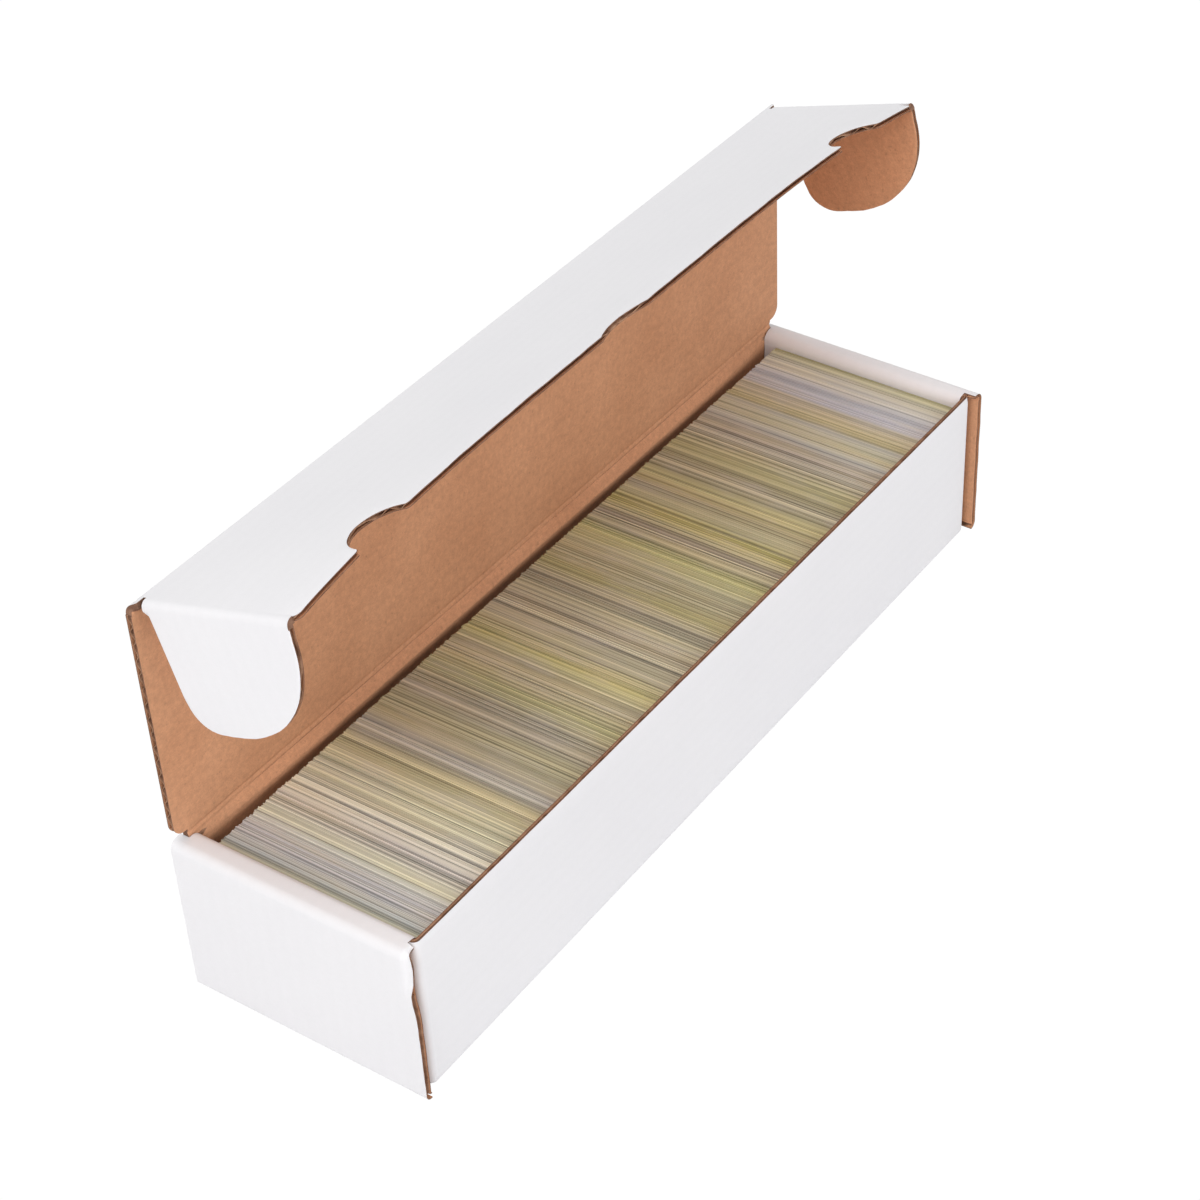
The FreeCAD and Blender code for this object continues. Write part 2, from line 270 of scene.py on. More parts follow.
def grid_between(columns: Grid, low: Grid, high: Grid, shares: Grid) -> tuple[Grid, Grid]:
    """A grid whose columns each run from a low to a high edge.

    Args:
        columns: the place of each column.
        low: the low edge at each column.
        high: the high edge at each column.
        shares: shares from 0 to 1 between the edges.

    Returns:
        The column places and the places between the edges, as two grids.
    """
    low, high = np.broadcast_to(low, columns.shape), np.broadcast_to(high, columns.shape)
    between = low[:, None] + shares[None, :] * (high - low)[:, None]
    return np.broadcast_to(columns[:, None], between.shape), between


class FoldedPath:
    """A flat path of straight runs joined by arcs, measured along its length."""

    ARC_POINTS = 13  # points of each arc
    SHORTEST = 1e-7  # length up to which a run has no points of its own
    DIGITS = 7  # decimals by which two places along the path are told apart

    def __init__(self, corners: list[Pair], radii: list[float]) -> None:
        """Work out the path.

        At each corner the path leaves its straight run a tangent's length early, turns
        about a centre one radius to the side, and goes on in the next run's direction.

        Args:
            corners: the path's ends and the corners between them.
            radii: the radius at each corner between the ends.
        """
        places = [np.array(corners[0])]
        first = np.array(corners[1]) - places[0]
        angles = [math.atan2(first[1], first[0])]
        for number, radius in enumerate(radii, start=1):
            corner = np.array(corners[number])
            ahead = np.array(corners[number + 1]) - corner
            heading = angles[-1]
            turn = math.atan2(ahead[1], ahead[0]) - heading
            turn = (turn + math.pi) % (2 * math.pi) - math.pi
            forward = np.array([math.cos(heading), math.sin(heading)])
            start = corner - forward * radius * math.tan(abs(turn) / 2)
            side = math.copysign(1.0, turn)
            centre = start + radius * side * np.array([-forward[1], forward[0]])
            arm = start - centre
            for part in np.linspace(0, turn, self.ARC_POINTS):
                cosine, sine = math.cos(part), math.sin(part)
                places.append(
                    centre + [cosine * arm[0] - sine * arm[1], sine * arm[0] + cosine * arm[1]]
                )
                angles.append(heading + part)
        self.places = np.array([*places, corners[-1]])
        self.angles = np.array([*angles, angles[-1]])
        steps = np.hypot(*np.diff(self.places, axis=0).T)
        self.marks = np.concatenate([[0.0], np.cumsum(steps)])

    @property
    def length(self) -> float:
        """The path's whole length."""
        return float(self.marks[-1])

    def at(self, along: Grid) -> tuple[Grid, Grid, Grid, Grid]:
        """Points and right-hand normals at distances along the path.

        Args:
            along: distances from the start.

        Returns:
            First and second coordinate, then the normal's two coordinates.
        """
        first = np.interp(along, self.marks, self.places[:, 0])
        second = np.interp(along, self.marks, self.places[:, 1])
        angle = np.interp(along, self.marks, self.angles)
        return first, second, np.sin(angle), -np.cos(angle)

    def samples(self, step: float) -> Grid:
        """The path's own marks, with long runs divided into steps."""
        runs = zip(self.marks, self.marks[1:])
        parts = [stations(low, high, step) for low, high in runs if high - low > self.SHORTEST]
        return np.unique(np.round(np.concatenate(parts), self.DIGITS))


# ---- meshes


def link(name: str, mesh: bpy.types.Mesh) -> bpy.types.Object:
    """Put a mesh into the scene as an object at the origin."""
    made = bpy.data.objects.new(name, mesh)
    bpy.context.collection.objects.link(made)
    return made


class MeshDraft:
    """Gathers closed shells and turns them into one object at the origin."""

    SHARP = 32 * DEGREE  # angle from which an edge is shaded sharp
    SPREAD = 0.1  # metres of board for one unit of the UV map
    LAYER = "Board"  # the UV map's name

    def __init__(self, name: str) -> None:
        """Start an empty draft.

        Args:
            name: the piece's name.
        """
        self.name = name
        self.points: list[Grid] = []
        self.quads: list[Grid] = []
        self.faces: list[Grid] = []
        self.spread: list[Grid] = []
        self.count = 0

    @staticmethod
    def cells(index: Grid, flip: bool) -> Grid:
        """The quads between neighbours of a grid of point numbers.

        Args:
            index: the point numbers, rows by columns.
            flip: whether each quad is taken the other way round.

        Returns:
            Rows of four point numbers.
        """
        corners = [index[:-1, :-1], index[1:, :-1], index[1:, 1:], index[:-1, 1:]]
        quads = np.stack([corner.ravel() for corner in corners], axis=1)
        return quads[:, ::-1] if flip else quads

    def add_slab(
        self, upper: Grid, lower: Grid, along: Grid, across: Grid, finish: tuple[Face, Face, Face]
    ) -> None:
        """Add the closed shell between two grids of points.

        The two grids are the shell's sides, and a band of quads round their rims joins
        them.  The sign of (row step x column step) . (upper - lower) says which way
        round the quads have to go to face outwards.

        Args:
            upper: rows by columns by 3, the side that the first finish covers.
            lower: the same grid on the other side.
            along: distance along the flutes at each grid point, for the pattern.
            across: distance across the flutes.
            finish: the finish of the upper side, the lower side and the rim.
        """
        rows, columns = upper.shape[:2]
        top = self.count + np.arange(rows * columns).reshape(rows, columns)
        under = top + rows * columns
        flat = np.cross(np.diff(upper, axis=0)[:, :-1], np.diff(upper, axis=1)[:-1])
        turned = np.sum(flat * (upper - lower)[:-1, :-1]) < 0
        rim = np.concatenate([top[0, :], top[1:, -1], top[-1, -2::-1], top[-2:0:-1, 0]])
        rim_under = rim + rows * columns
        walls = np.stack([rim, np.roll(rim, -1), np.roll(rim_under, -1), rim_under], axis=1)
        walls = walls if turned else walls[:, ::-1]
        sides = [self.cells(top, turned), self.cells(under, not turned), walls]
        for quads, face in zip(sides, finish):
            self.quads.append(quads)
            self.faces.append(np.full(len(quads), face.value))
        spread = np.stack([along.ravel(), across.ravel()], axis=1) / self.SPREAD
        self.points += [upper.reshape(-1, 3), lower.reshape(-1, 3)]
        self.spread += [spread, spread]
        self.count += 2 * rows * columns

    def build(self, materials: list[bpy.types.Material]) -> bpy.types.Object:
        """Make the object.

        Args:
            materials: one for each finish, in the order of Face.

        Returns:
            The object, linked to the scene.
        """
        points, quads = np.concatenate(self.points), np.concatenate(self.quads)
        mesh = bpy.data.meshes.new(self.name)
        mesh.vertices.add(len(points))
        mesh.vertices.foreach_set("co", points.ravel())
        mesh.loops.add(quads.size)
        mesh.loops.foreach_set("vertex_index", quads.ravel().astype(np.int32))
        mesh.polygons.add(len(quads))
        mesh.polygons.foreach_set("loop_start", np.arange(0, quads.size, 4, dtype=np.int32))
        mesh.polygons.foreach_set("material_index", np.concatenate(self.faces).astype(np.int32))
        mesh.update(calc_edges=True)
        mesh.polygons.foreach_set("use_smooth", np.ones(len(quads), dtype=bool))
        layer = mesh.uv_layers.new(name=self.LAYER)
        spread = np.concatenate(self.spread)[quads.ravel()]
        layer.data.foreach_set("uv", spread.ravel().astype(np.float32))
        mesh.set_sharp_from_angle(angle=self.SHARP)
        for material in materials:
            mesh.materials.append(material)
        return link(self.name, mesh)


def no_press(along: Grid, across: Grid) -> Grid:
    """A board that is pressed nowhere."""
    return np.zeros(np.broadcast(along, across).shape)


def even_ends(first: float, last: float) -> Ends:
    """Ends of flutes that all start at one place and stop at another.

    Args:
        first: where every flute starts.
        last: where every flute stops.

    Returns:
        The two ends as a function of the flutes' places.
    """

    def ends(place: Grid) -> tuple[Grid, Grid]:
        """The same two ends at every place."""
        return np.full(place.shape, first), np.full(place.shape, last)

    return ends


@dataclass(frozen=True)
class Board:
    """Corrugated board: two liners, with a wavy medium between them."""

    thickness: float  # from white face to kraft face
    liner: float = 0.38 * MM  # thickness of each liner
    medium: float = 0.34 * MM  # thickness of the wavy sheet
    pitch: float = 6.3 * MM  # length of one wave
    points_per_wave: int = 10  # how finely each wave is drawn
    recess: float = 0.12 * MM  # how far the flutes stay back from the board's edges
    rag: float = 0.12 * MM  # how far a ragged edge wanders back from its line
    bead_half: float = 0.2 * MM  # half the thickness of a flute crushed to a bead
    # How far the bead lies towards the kraft side, as a negative number.
    bead_offset: float = -0.15 * MM
    bead_depth: float = 1.6 * MM  # how deep the bead reaches into the board
    bead_sway: float = 0.1 * MM  # how far the bead wanders to either side
    bead_run: float = 9 * MM  # the wave length of that wandering
    bead_rows: int = 3  # points across the bead

    def ragged(self, columns: Grid, wave: float, seed: float) -> Grid:
        """How far a ragged edge stays back from its line: the rag times (1 + a ripple)."""
        return self.rag * (1 + ripple(columns, wave, seed))

    def add_liners(
        self, draft: MeshDraft, surface: Surface, along: Grid, across: Grid,
        press: Field = no_press,
    ) -> None:
        """Add the white and the kraft liner over one grid.

        Each liner is a slab between two offsets of the middle surface, half the
        board's thickness out and a liner's thickness further in.

        Args:
            draft: the mesh to add to.
            surface: gives the middle surface's points and normals.
            along: distances along the flutes, a grid.
            across: distances across the flutes, a grid.
            press: share of the thickness that is crushed away at each place.
        """
        points, normals = surface(along, across)
        half = (self.thickness / 2 * (1 - press(along, across)))[..., None]
        face, inside = normals * half, normals * (half - self.liner)
        draft.add_slab(points + face, points + inside, along, across, WHITE_LINER)
        draft.add_slab(points - inside, points - face, along, across, KRAFT_LINER)

    def add_sheet(
        self, draft: MeshDraft, surface: Surface, along: Grid, across: Grid,
        offset: Grid, half: float,
    ) -> None:
        """Add a thin sheet of medium beside the middle surface.

        Args:
            draft: the mesh to add to.
            surface: gives the middle surface's points and normals.
            along: distances along the flutes, a grid.
            across: distances across the flutes, a grid.
            offset: the sheet's distance from the middle surface, to the white side.
            half: half the sheet's thickness.
        """
        points, normals = surface(along, across)
        upper = points + normals * (offset + half)[..., None]
        lower = points + normals * (offset - half)[..., None]
        draft.add_slab(upper, lower, along, across, FLUTED)

    def add_flutes(
        self, draft: MeshDraft, surface: Surface, run: Grid, low: float, high: float,
        ends: Ends, press: Field = no_press,
    ) -> None:
        """Add the medium: a sine wave across the board, drawn out along the flutes.

        Args:
            draft: the mesh to add to.
            surface: gives the middle surface's points and normals.
            run: shares from 0 to 1 at which each flute has points.
            low: where the wave starts, across the flutes.
            high: where it ends.
            ends: gives each flute's first and last place for its place across.
            press: share of the thickness that is crushed away at each place.
        """
        count = max(3, int((high - low) / self.pitch * self.points_per_wave))
        across = np.linspace(low, high, count)
        first, last = ends(across)
        across, along = grid_between(across, first + self.recess, last - self.recess, run)
        swing = self.thickness / 2 * (1 - press(along, across)) - self.liner - self.medium / 2
        offset = swing * np.sin(2 * math.pi * across / self.pitch)
        self.add_sheet(draft, surface, along, across, offset, self.medium / 2)

    def add_bead(self, draft: MeshDraft, surface: Surface, along: Grid, edge: Grid) -> None:
        """Add the last flute, crushed to a bead, under an edge cut in line with the flutes.

        Args:
            draft: the mesh to add to.
            surface: gives the middle surface's points and normals.
            along: places along the edge.
            edge: the edge's place across the flutes at each of them.
        """
        low, high = edge - self.bead_depth, edge - self.recess
        along, across = grid_between(along, low, high, np.linspace(0, 1, self.bead_rows))
        offset = self.bead_offset + self.bead_sway * ripple(along, self.bead_run, 1.0)
        self.add_sheet(draft, surface, along, across, offset, self.bead_half)


# ---- materials


@dataclass(frozen=True)
class Grain:
    """One layer of noise in a finish."""

    scale: float  # its fineness
    detail: float  # how many finer layers it holds
    band: Pair = (0.3, 0.7)  # the two values of the noise between which it has its effect
    stretch: Triple | None = None  # scale of its axes, for grain that runs one way


class Shader:
    """Adds nodes to one new material and links them."""

    def __init__(self, name: str) -> None:
        """Start a material with its principled shader.

        Args:
            name: the material's name.
        """
        self.material = bpy.data.materials.new(name)
        self.material.use_nodes = True
        self.nodes = self.material.node_tree.nodes
        self.links = self.material.node_tree.links
        self.principled = self.nodes["Principled BSDF"]

    @cached_property
    def place(self) -> Socket:
        """The place on the object itself."""
        return self.node("ShaderNodeTexCoord").outputs["Object"]

    def node(self, kind: str, *inputs: Any, **attributes: Any) -> bpy.types.Node:
        """Add a node.

        Args:
            kind: the node's type.
            inputs: what feeds its first inputs, in order.
            attributes: the node's own attributes, by name.

        Returns:
            The node.
        """
        made = self.nodes.new(kind)
        for name, value in attributes.items():
            setattr(made, name, value)
        for socket, value in zip(made.inputs, inputs):
            self.feed(socket, value)
        return made

    def feed(self, socket: Socket, value: Any) -> None:
        """Link a socket to an output, or set its value."""
        if isinstance(value, bpy.types.NodeSocket):
            self.links.new(value, socket)
        else:
            socket.default_value = value

    def math(self, operation: str, first: Any, *others: Any) -> Socket:
        """Work a Math operation on one number, or on several from the left.

        Args:
            operation: the operation's name.
            first: a number or an output.
            others: more of them, taken in turn.

        Returns:
            The result.
        """
        result = first
        for other in others or (0.0,):
            result = self.node("ShaderNodeMath", result, other, operation=operation).outputs[0]
        return result

    def noise(self, place: Any, grain: Grain) -> Socket:
        """The noise of a grain, about 0.5 on average.

        Args:
            place: the place's output.
            grain: the grain.

        Returns:
            The noise.
        """
        if grain.stretch:
            mapping = self.node("ShaderNodeMapping", place)
            mapping.inputs["Scale"].default_value = grain.stretch
            place = mapping.outputs[0]
        made = self.node("ShaderNodeTexNoise", place)
        made.inputs["Scale"].default_value = grain.scale
        made.inputs["Detail"].default_value = grain.detail
        return made.outputs[0]

    def ramp(self, value: Any, band: Pair, span: Pair) -> Socket:
        """Map the band of a value to a span, held at the ends."""
        return self.node("ShaderNodeMapRange", value, *band, *span).outputs[0]

    def scaled(self, colour: Any, factor: Any) -> Socket:
        """A colour times a number."""
        made = self.node("ShaderNodeVectorMath", colour, operation="SCALE")
        self.feed(made.inputs["Scale"], factor)
        return made.outputs[0]

    def mixed(self, factor: Any, first: Any, second: Any) -> Socket:
        """Mix two colours, on the Mix node's inputs for colours.

        Args:
            factor: the second colour's share.
            first: the first colour.
            second: the second colour.

        Returns:
            The mixed colour.
        """
        made = self.node("ShaderNodeMix", data_type="RGBA")
        for number, value in ((0, factor), (6, first), (7, second)):
            self.feed(made.inputs[number], value)
        return made.outputs[2]

    def bump(self, height: Any, distance: float, strength: float) -> None:
        """Give the surface relief.

        Args:
            height: the relief's pattern.
            distance: its height in metres.
            strength: its strength.
        """
        made = self.node("ShaderNodeBump")
        made.inputs["Strength"].default_value = strength
        made.inputs["Distance"].default_value = distance
        self.feed(made.inputs["Height"], height)
        self.links.new(made.outputs[0], self.principled.inputs["Normal"])

    def finish(self, colour: Socket, roughness: float, specular: float) -> bpy.types.Material:
        """Set the shader's colour, roughness and specular level.

        Args:
            colour: the colour's output.
            roughness: the roughness, the same all over.
            specular: the specular level, the same all over.

        Returns:
            The material.
        """
        self.feed(self.principled.inputs["Base Color"], colour)
        self.principled.inputs["Roughness"].default_value = roughness
        self.principled.inputs["Specular IOR Level"].default_value = specular
        return self.material


@dataclass(frozen=True)
class LinerFinish:
    """A flat paper liner: clouded, fibrous, with the flutes faintly telling through."""

    name: str
    colour: Colour
    cloud_colour: Colour  # its colour where it is clouded
    cloud: float  # the most of that colour that a cloud has
    fibre: float  # how much lighter or darker single fibres are
    flute_shade: float  # how much darker the paper is over the valley of a flute
    flute_relief: float  # height of the flutes' relief, as a share of relief_depth
    roughness: float
    specular: float
    fleck: float = 0.0  # how much darker a fleck is
    mottle: float = 0.8  # strength of the mottle, as a share of fibre
    relief_depth: float = 0.05 * MM  # height that the whole relief is measured in
    relief_strength: float = 0.6  # strength of the relief
    fine_relief: float = 0.25  # height of the fine grain's relief, as a share of relief_depth
    strand_relief: float = 0.5  # height of the strands' relief, as a share of relief_depth
    clouds: Grain = Grain(22.0, 4.0)
    strands: Grain = Grain(6.0, 5.0, (0.25, 0.75), (7.0, 90.0, 1.0))
    fine_grain: Grain = Grain(1500.0, 3.0, (0.2, 0.8))
    patches: Grain = Grain(520.0, 4.0)
    flecks: Grain = Grain(700.0, 1.0, (0.66, 0.74))

    def material(self, board: Board) -> bpy.types.Material:
        """Build the finish: paper colour times a shade, over a relief.

        The shade is the product of the strands', the flutes', the fine grain's, the
        patches' and the flecks' own shades.  The relief is the sum of flutes, fine
        grain and strands.

        Args:
            board: gives the pitch of the flutes that tell through.

        Returns:
            The material.
        """
        shader = Shader(self.name)
        sheet = shader.node("ShaderNodeUVMap", uv_map=MeshDraft.LAYER).outputs[0]
        across = shader.node("ShaderNodeSeparateXYZ", sheet).outputs[1]
        turns = shader.math("MULTIPLY", across, 2 * math.pi * MeshDraft.SPREAD / board.pitch)
        wave = shader.math("SINE", turns)
        strands = shader.noise(sheet, self.strands)
        fine = shader.noise(shader.place, self.fine_grain)
        both_ways = (1 - self.fibre, 1 + self.fibre)
        mottle = self.mottle * self.fibre
        shades = [
            shader.ramp(strands, self.strands.band, both_ways),
            shader.ramp(wave, (-1, 1), (1 - self.flute_shade, 1.0)),
            shader.ramp(fine, self.fine_grain.band, both_ways),
            self.shade(shader, self.patches, (1 - mottle, 1 + mottle)),
        ]
        if self.fleck:
            shades.append(self.shade(shader, self.flecks, (1, 1 - self.fleck)))
        relief = shader.math(
            "ADD",
            shader.math("MULTIPLY", wave, self.flute_relief),
            shader.math("MULTIPLY", fine, self.fine_relief),
            shader.math("MULTIPLY", strands, self.strand_relief),
        )
        shader.bump(relief, self.relief_depth, self.relief_strength)
        cloud = self.shade(shader, self.clouds, (0.0, self.cloud))
        tone = shader.mixed(cloud, self.colour, self.cloud_colour)
        shade = shader.math("MULTIPLY", *shades)
        return shader.finish(shader.scaled(tone, shade), self.roughness, self.specular)

    def shade(self, shader: Shader, grain: Grain, span: Pair) -> Socket:
        """A grain's noise on the board's own place, mapped to a span."""
        return shader.ramp(shader.noise(shader.place, grain), grain.band, span)


@dataclass(frozen=True)
class RawFinish:
    """Cut edges and the wavy medium: rough brown fibre."""

    name: str
    colour: Colour  # the fibre's colour
    dark: Colour  # its colour in the darker patches
    shade: Pair = (0.82, 1.15)  # the darkest and the lightest of the fine grain
    relief_depth: float = 0.15 * MM  # height of the fine grain's relief
    relief_strength: float = 0.8  # strength of that relief
    roughness: float = 0.92
    specular: float = 0.2
    patches: Grain = Grain(260.0, 4.0, (0.35, 0.65))
    fine_grain: Grain = Grain(2600.0, 3.0, (0.25, 0.75))

    def material(self) -> bpy.types.Material:
        """Build the finish: two colours in patches, times the fine grain's shade.

        Returns:
            The material.
        """
        shader = Shader(self.name)
        fine = shader.noise(shader.place, self.fine_grain)
        patch = shader.ramp(shader.noise(shader.place, self.patches), self.patches.band, (0, 1))
        tone = shader.mixed(patch, self.colour, self.dark)
        shade = shader.ramp(fine, self.fine_grain.band, self.shade)
        shader.bump(fine, self.relief_depth, self.relief_strength)
        return shader.finish(shader.scaled(tone, shade), self.roughness, self.specular)


@dataclass(frozen=True)
class CardFinish:
    """Edges of packed cards: each card's own tone, with fine lines along it."""

    name: str
    attribute: str  # the mesh attribute that holds each card's tone
    yellowed: Colour = (0.60, 0.50, 0.27, 1)  # colour that comes up in patches
    yellow_band: Pair = (0.45, 0.75)  # the patches' noise between which it comes up
    yellow_span: Pair = (0, 0.35)  # its least and its most share
    greyed: Colour = (0.59, 0.55, 0.52, 1)  # colour that comes up in other patches
    grey_span: Pair = (0, 0.4)  # its least and its most share
    line_shade: Pair = (0.88, 1.10)  # the darkest and the lightest of the fine lines
    patch_shade: Pair = (0.93, 1.06)  # the darkest and the lightest of the patches
    relief_depth: float = 0.05 * MM  # height of the lines' relief
    relief_strength: float = 0.4  # strength of that relief
    roughness: float = 0.6
    specular: float = 0.3
    lines: Grain = Grain(1.0, 2.0, stretch=(2600.0, 10.0, 60.0))
    patches: Grain = Grain(1.0, 3.0, stretch=(150.0, 16.0, 16.0))
    other_patches: Grain = Grain(1.7, 3.0, (0.5, 0.8), (90.0, 22.0, 22.0))

    def material(self) -> bpy.types.Material:
        """Build the finish: the card's tone, yellowed and greyed, times two shades.

        Returns:
            The material.
        """
        shader = Shader(self.name)
        tone = shader.node("ShaderNodeAttribute", attribute_name=self.attribute).outputs["Color"]
        lines, patches, other = (
            shader.noise(shader.place, grain)
            for grain in (self.lines, self.patches, self.other_patches)
        )
        shade = shader.math(
            "MULTIPLY",
            shader.ramp(lines, self.lines.band, self.line_shade),
            shader.ramp(patches, self.patches.band, self.patch_shade),
        )
        yellow = shader.ramp(patches, self.yellow_band, self.yellow_span)
        grey = shader.ramp(other, self.other_patches.band, self.grey_span)
        tone = shader.mixed(yellow, tone, self.yellowed)
        tone = shader.mixed(grey, tone, self.greyed)
        shader.bump(lines, self.relief_depth, self.relief_strength)
        return shader.finish(shader.scaled(tone, shade), self.roughness, self.specular)


class Finishes:
    """Every material of the box, made once."""

    CARD_TONE = "card_tone"  # the mesh attribute that holds each card's tone

    def __init__(self, board: Board) -> None:
        """Build the board's four finishes and the cards'.

        Args:
            board: gives the pitch of the flutes that tell through.
        """
        white = LinerFinish(
            "white_liner", (0.80, 0.795, 0.813, 1), (0.775, 0.77, 0.792, 1),
            cloud=0.6, fibre=0.008, flute_shade=0.006, flute_relief=0.5,
            roughness=0.55, specular=0.3,
        )
        kraft = LinerFinish(
            "kraft_liner", (0.66, 0.342, 0.194, 1), (0.56, 0.276, 0.15, 1),
            cloud=0.9, fibre=0.10, flute_shade=0.03, flute_relief=0.8,
            roughness=0.85, specular=0.2, fleck=0.16,
        )
        medium = RawFinish("medium", (0.42, 0.245, 0.155, 1), (0.23, 0.12, 0.072, 1))
        # the liners' cut rims: the raw edge's own brown, darkened further as painted shadow of the
        # thin gap between liner and fluting
        rim = RawFinish("liner_rim", (0.27, 0.15, 0.098, 1), (0.13, 0.065, 0.042, 1))
        self.board = [
            white.material(board), kraft.material(board), medium.material(), rim.material()
        ]
        self.card = CardFinish("card_edges", self.CARD_TONE).material()


# ---- parts


@dataclass
class Part:
    """Something that builds pieces of the box from the shared sizes."""

    sizes: BoxSizes
    board: Board
    finishes: Finishes

    def make(self, draft: MeshDraft, slot: str, *nodes: str) -> bpy.types.Object:
        """Build a draft of board as a piece that stands for CAD nodes.

        Args:
            draft: the piece's mesh.
            slot: its material slot; passed on to seat, which does not use it.
            nodes: the CAD nodes it stands for.

        Returns:
            The piece.
        """
        return self.seat(draft.build(self.finishes.board), slot, *nodes)

    def seat(self, made: bpy.types.Object, slot: str, *nodes: str) -> bpy.types.Object:
        """Let a piece stand for CAD nodes.

        Args:
            made: the piece.
            slot: its material slot; not used.
            nodes: the CAD nodes it stands for.

        Returns:
            The piece.
        """
        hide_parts(*nodes)
        LOG.info("%s stands for %s", made.name, ", ".join(nodes))
        return made


@dataclass
class Bottom(Part):
    """The bottom panel, flat, between the bends of the four walls."""

    step: float = 20 * MM  # the widest spacing of its points along X
    rows: int = 5  # points from front to back
    flute_points: int = 3  # points along a flute

    def surface(self, along: Grid, across: Grid) -> tuple[Grid, Grid]:
        """The level plane at half the board's thickness, white side down."""
        points = np.stack([along, across, np.full(along.shape, self.sizes.half)], axis=-1)
        return points, np.broadcast_to([0.0, 0.0, -1.0], points.shape)

    def build(self) -> None:
        """Build the panel."""
        sizes, draft = self.sizes, MeshDraft("bottom")
        low, high = sizes.front_out + sizes.bend, sizes.back_out - sizes.bend
        half = sizes.end_out - sizes.bend
        columns = stations(-half, half, self.step)
        grid = grid_between(columns, low, high, np.linspace(0, 1, self.rows))
        self.board.add_liners(draft, self.surface, *grid)
        run = np.linspace(0, 1, self.flute_points)
        self.board.add_flutes(draft, self.surface, run, low, high, even_ends(-half, half))
        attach(self.make(draft, "kraft_board", "bottom_panel"), "tray")


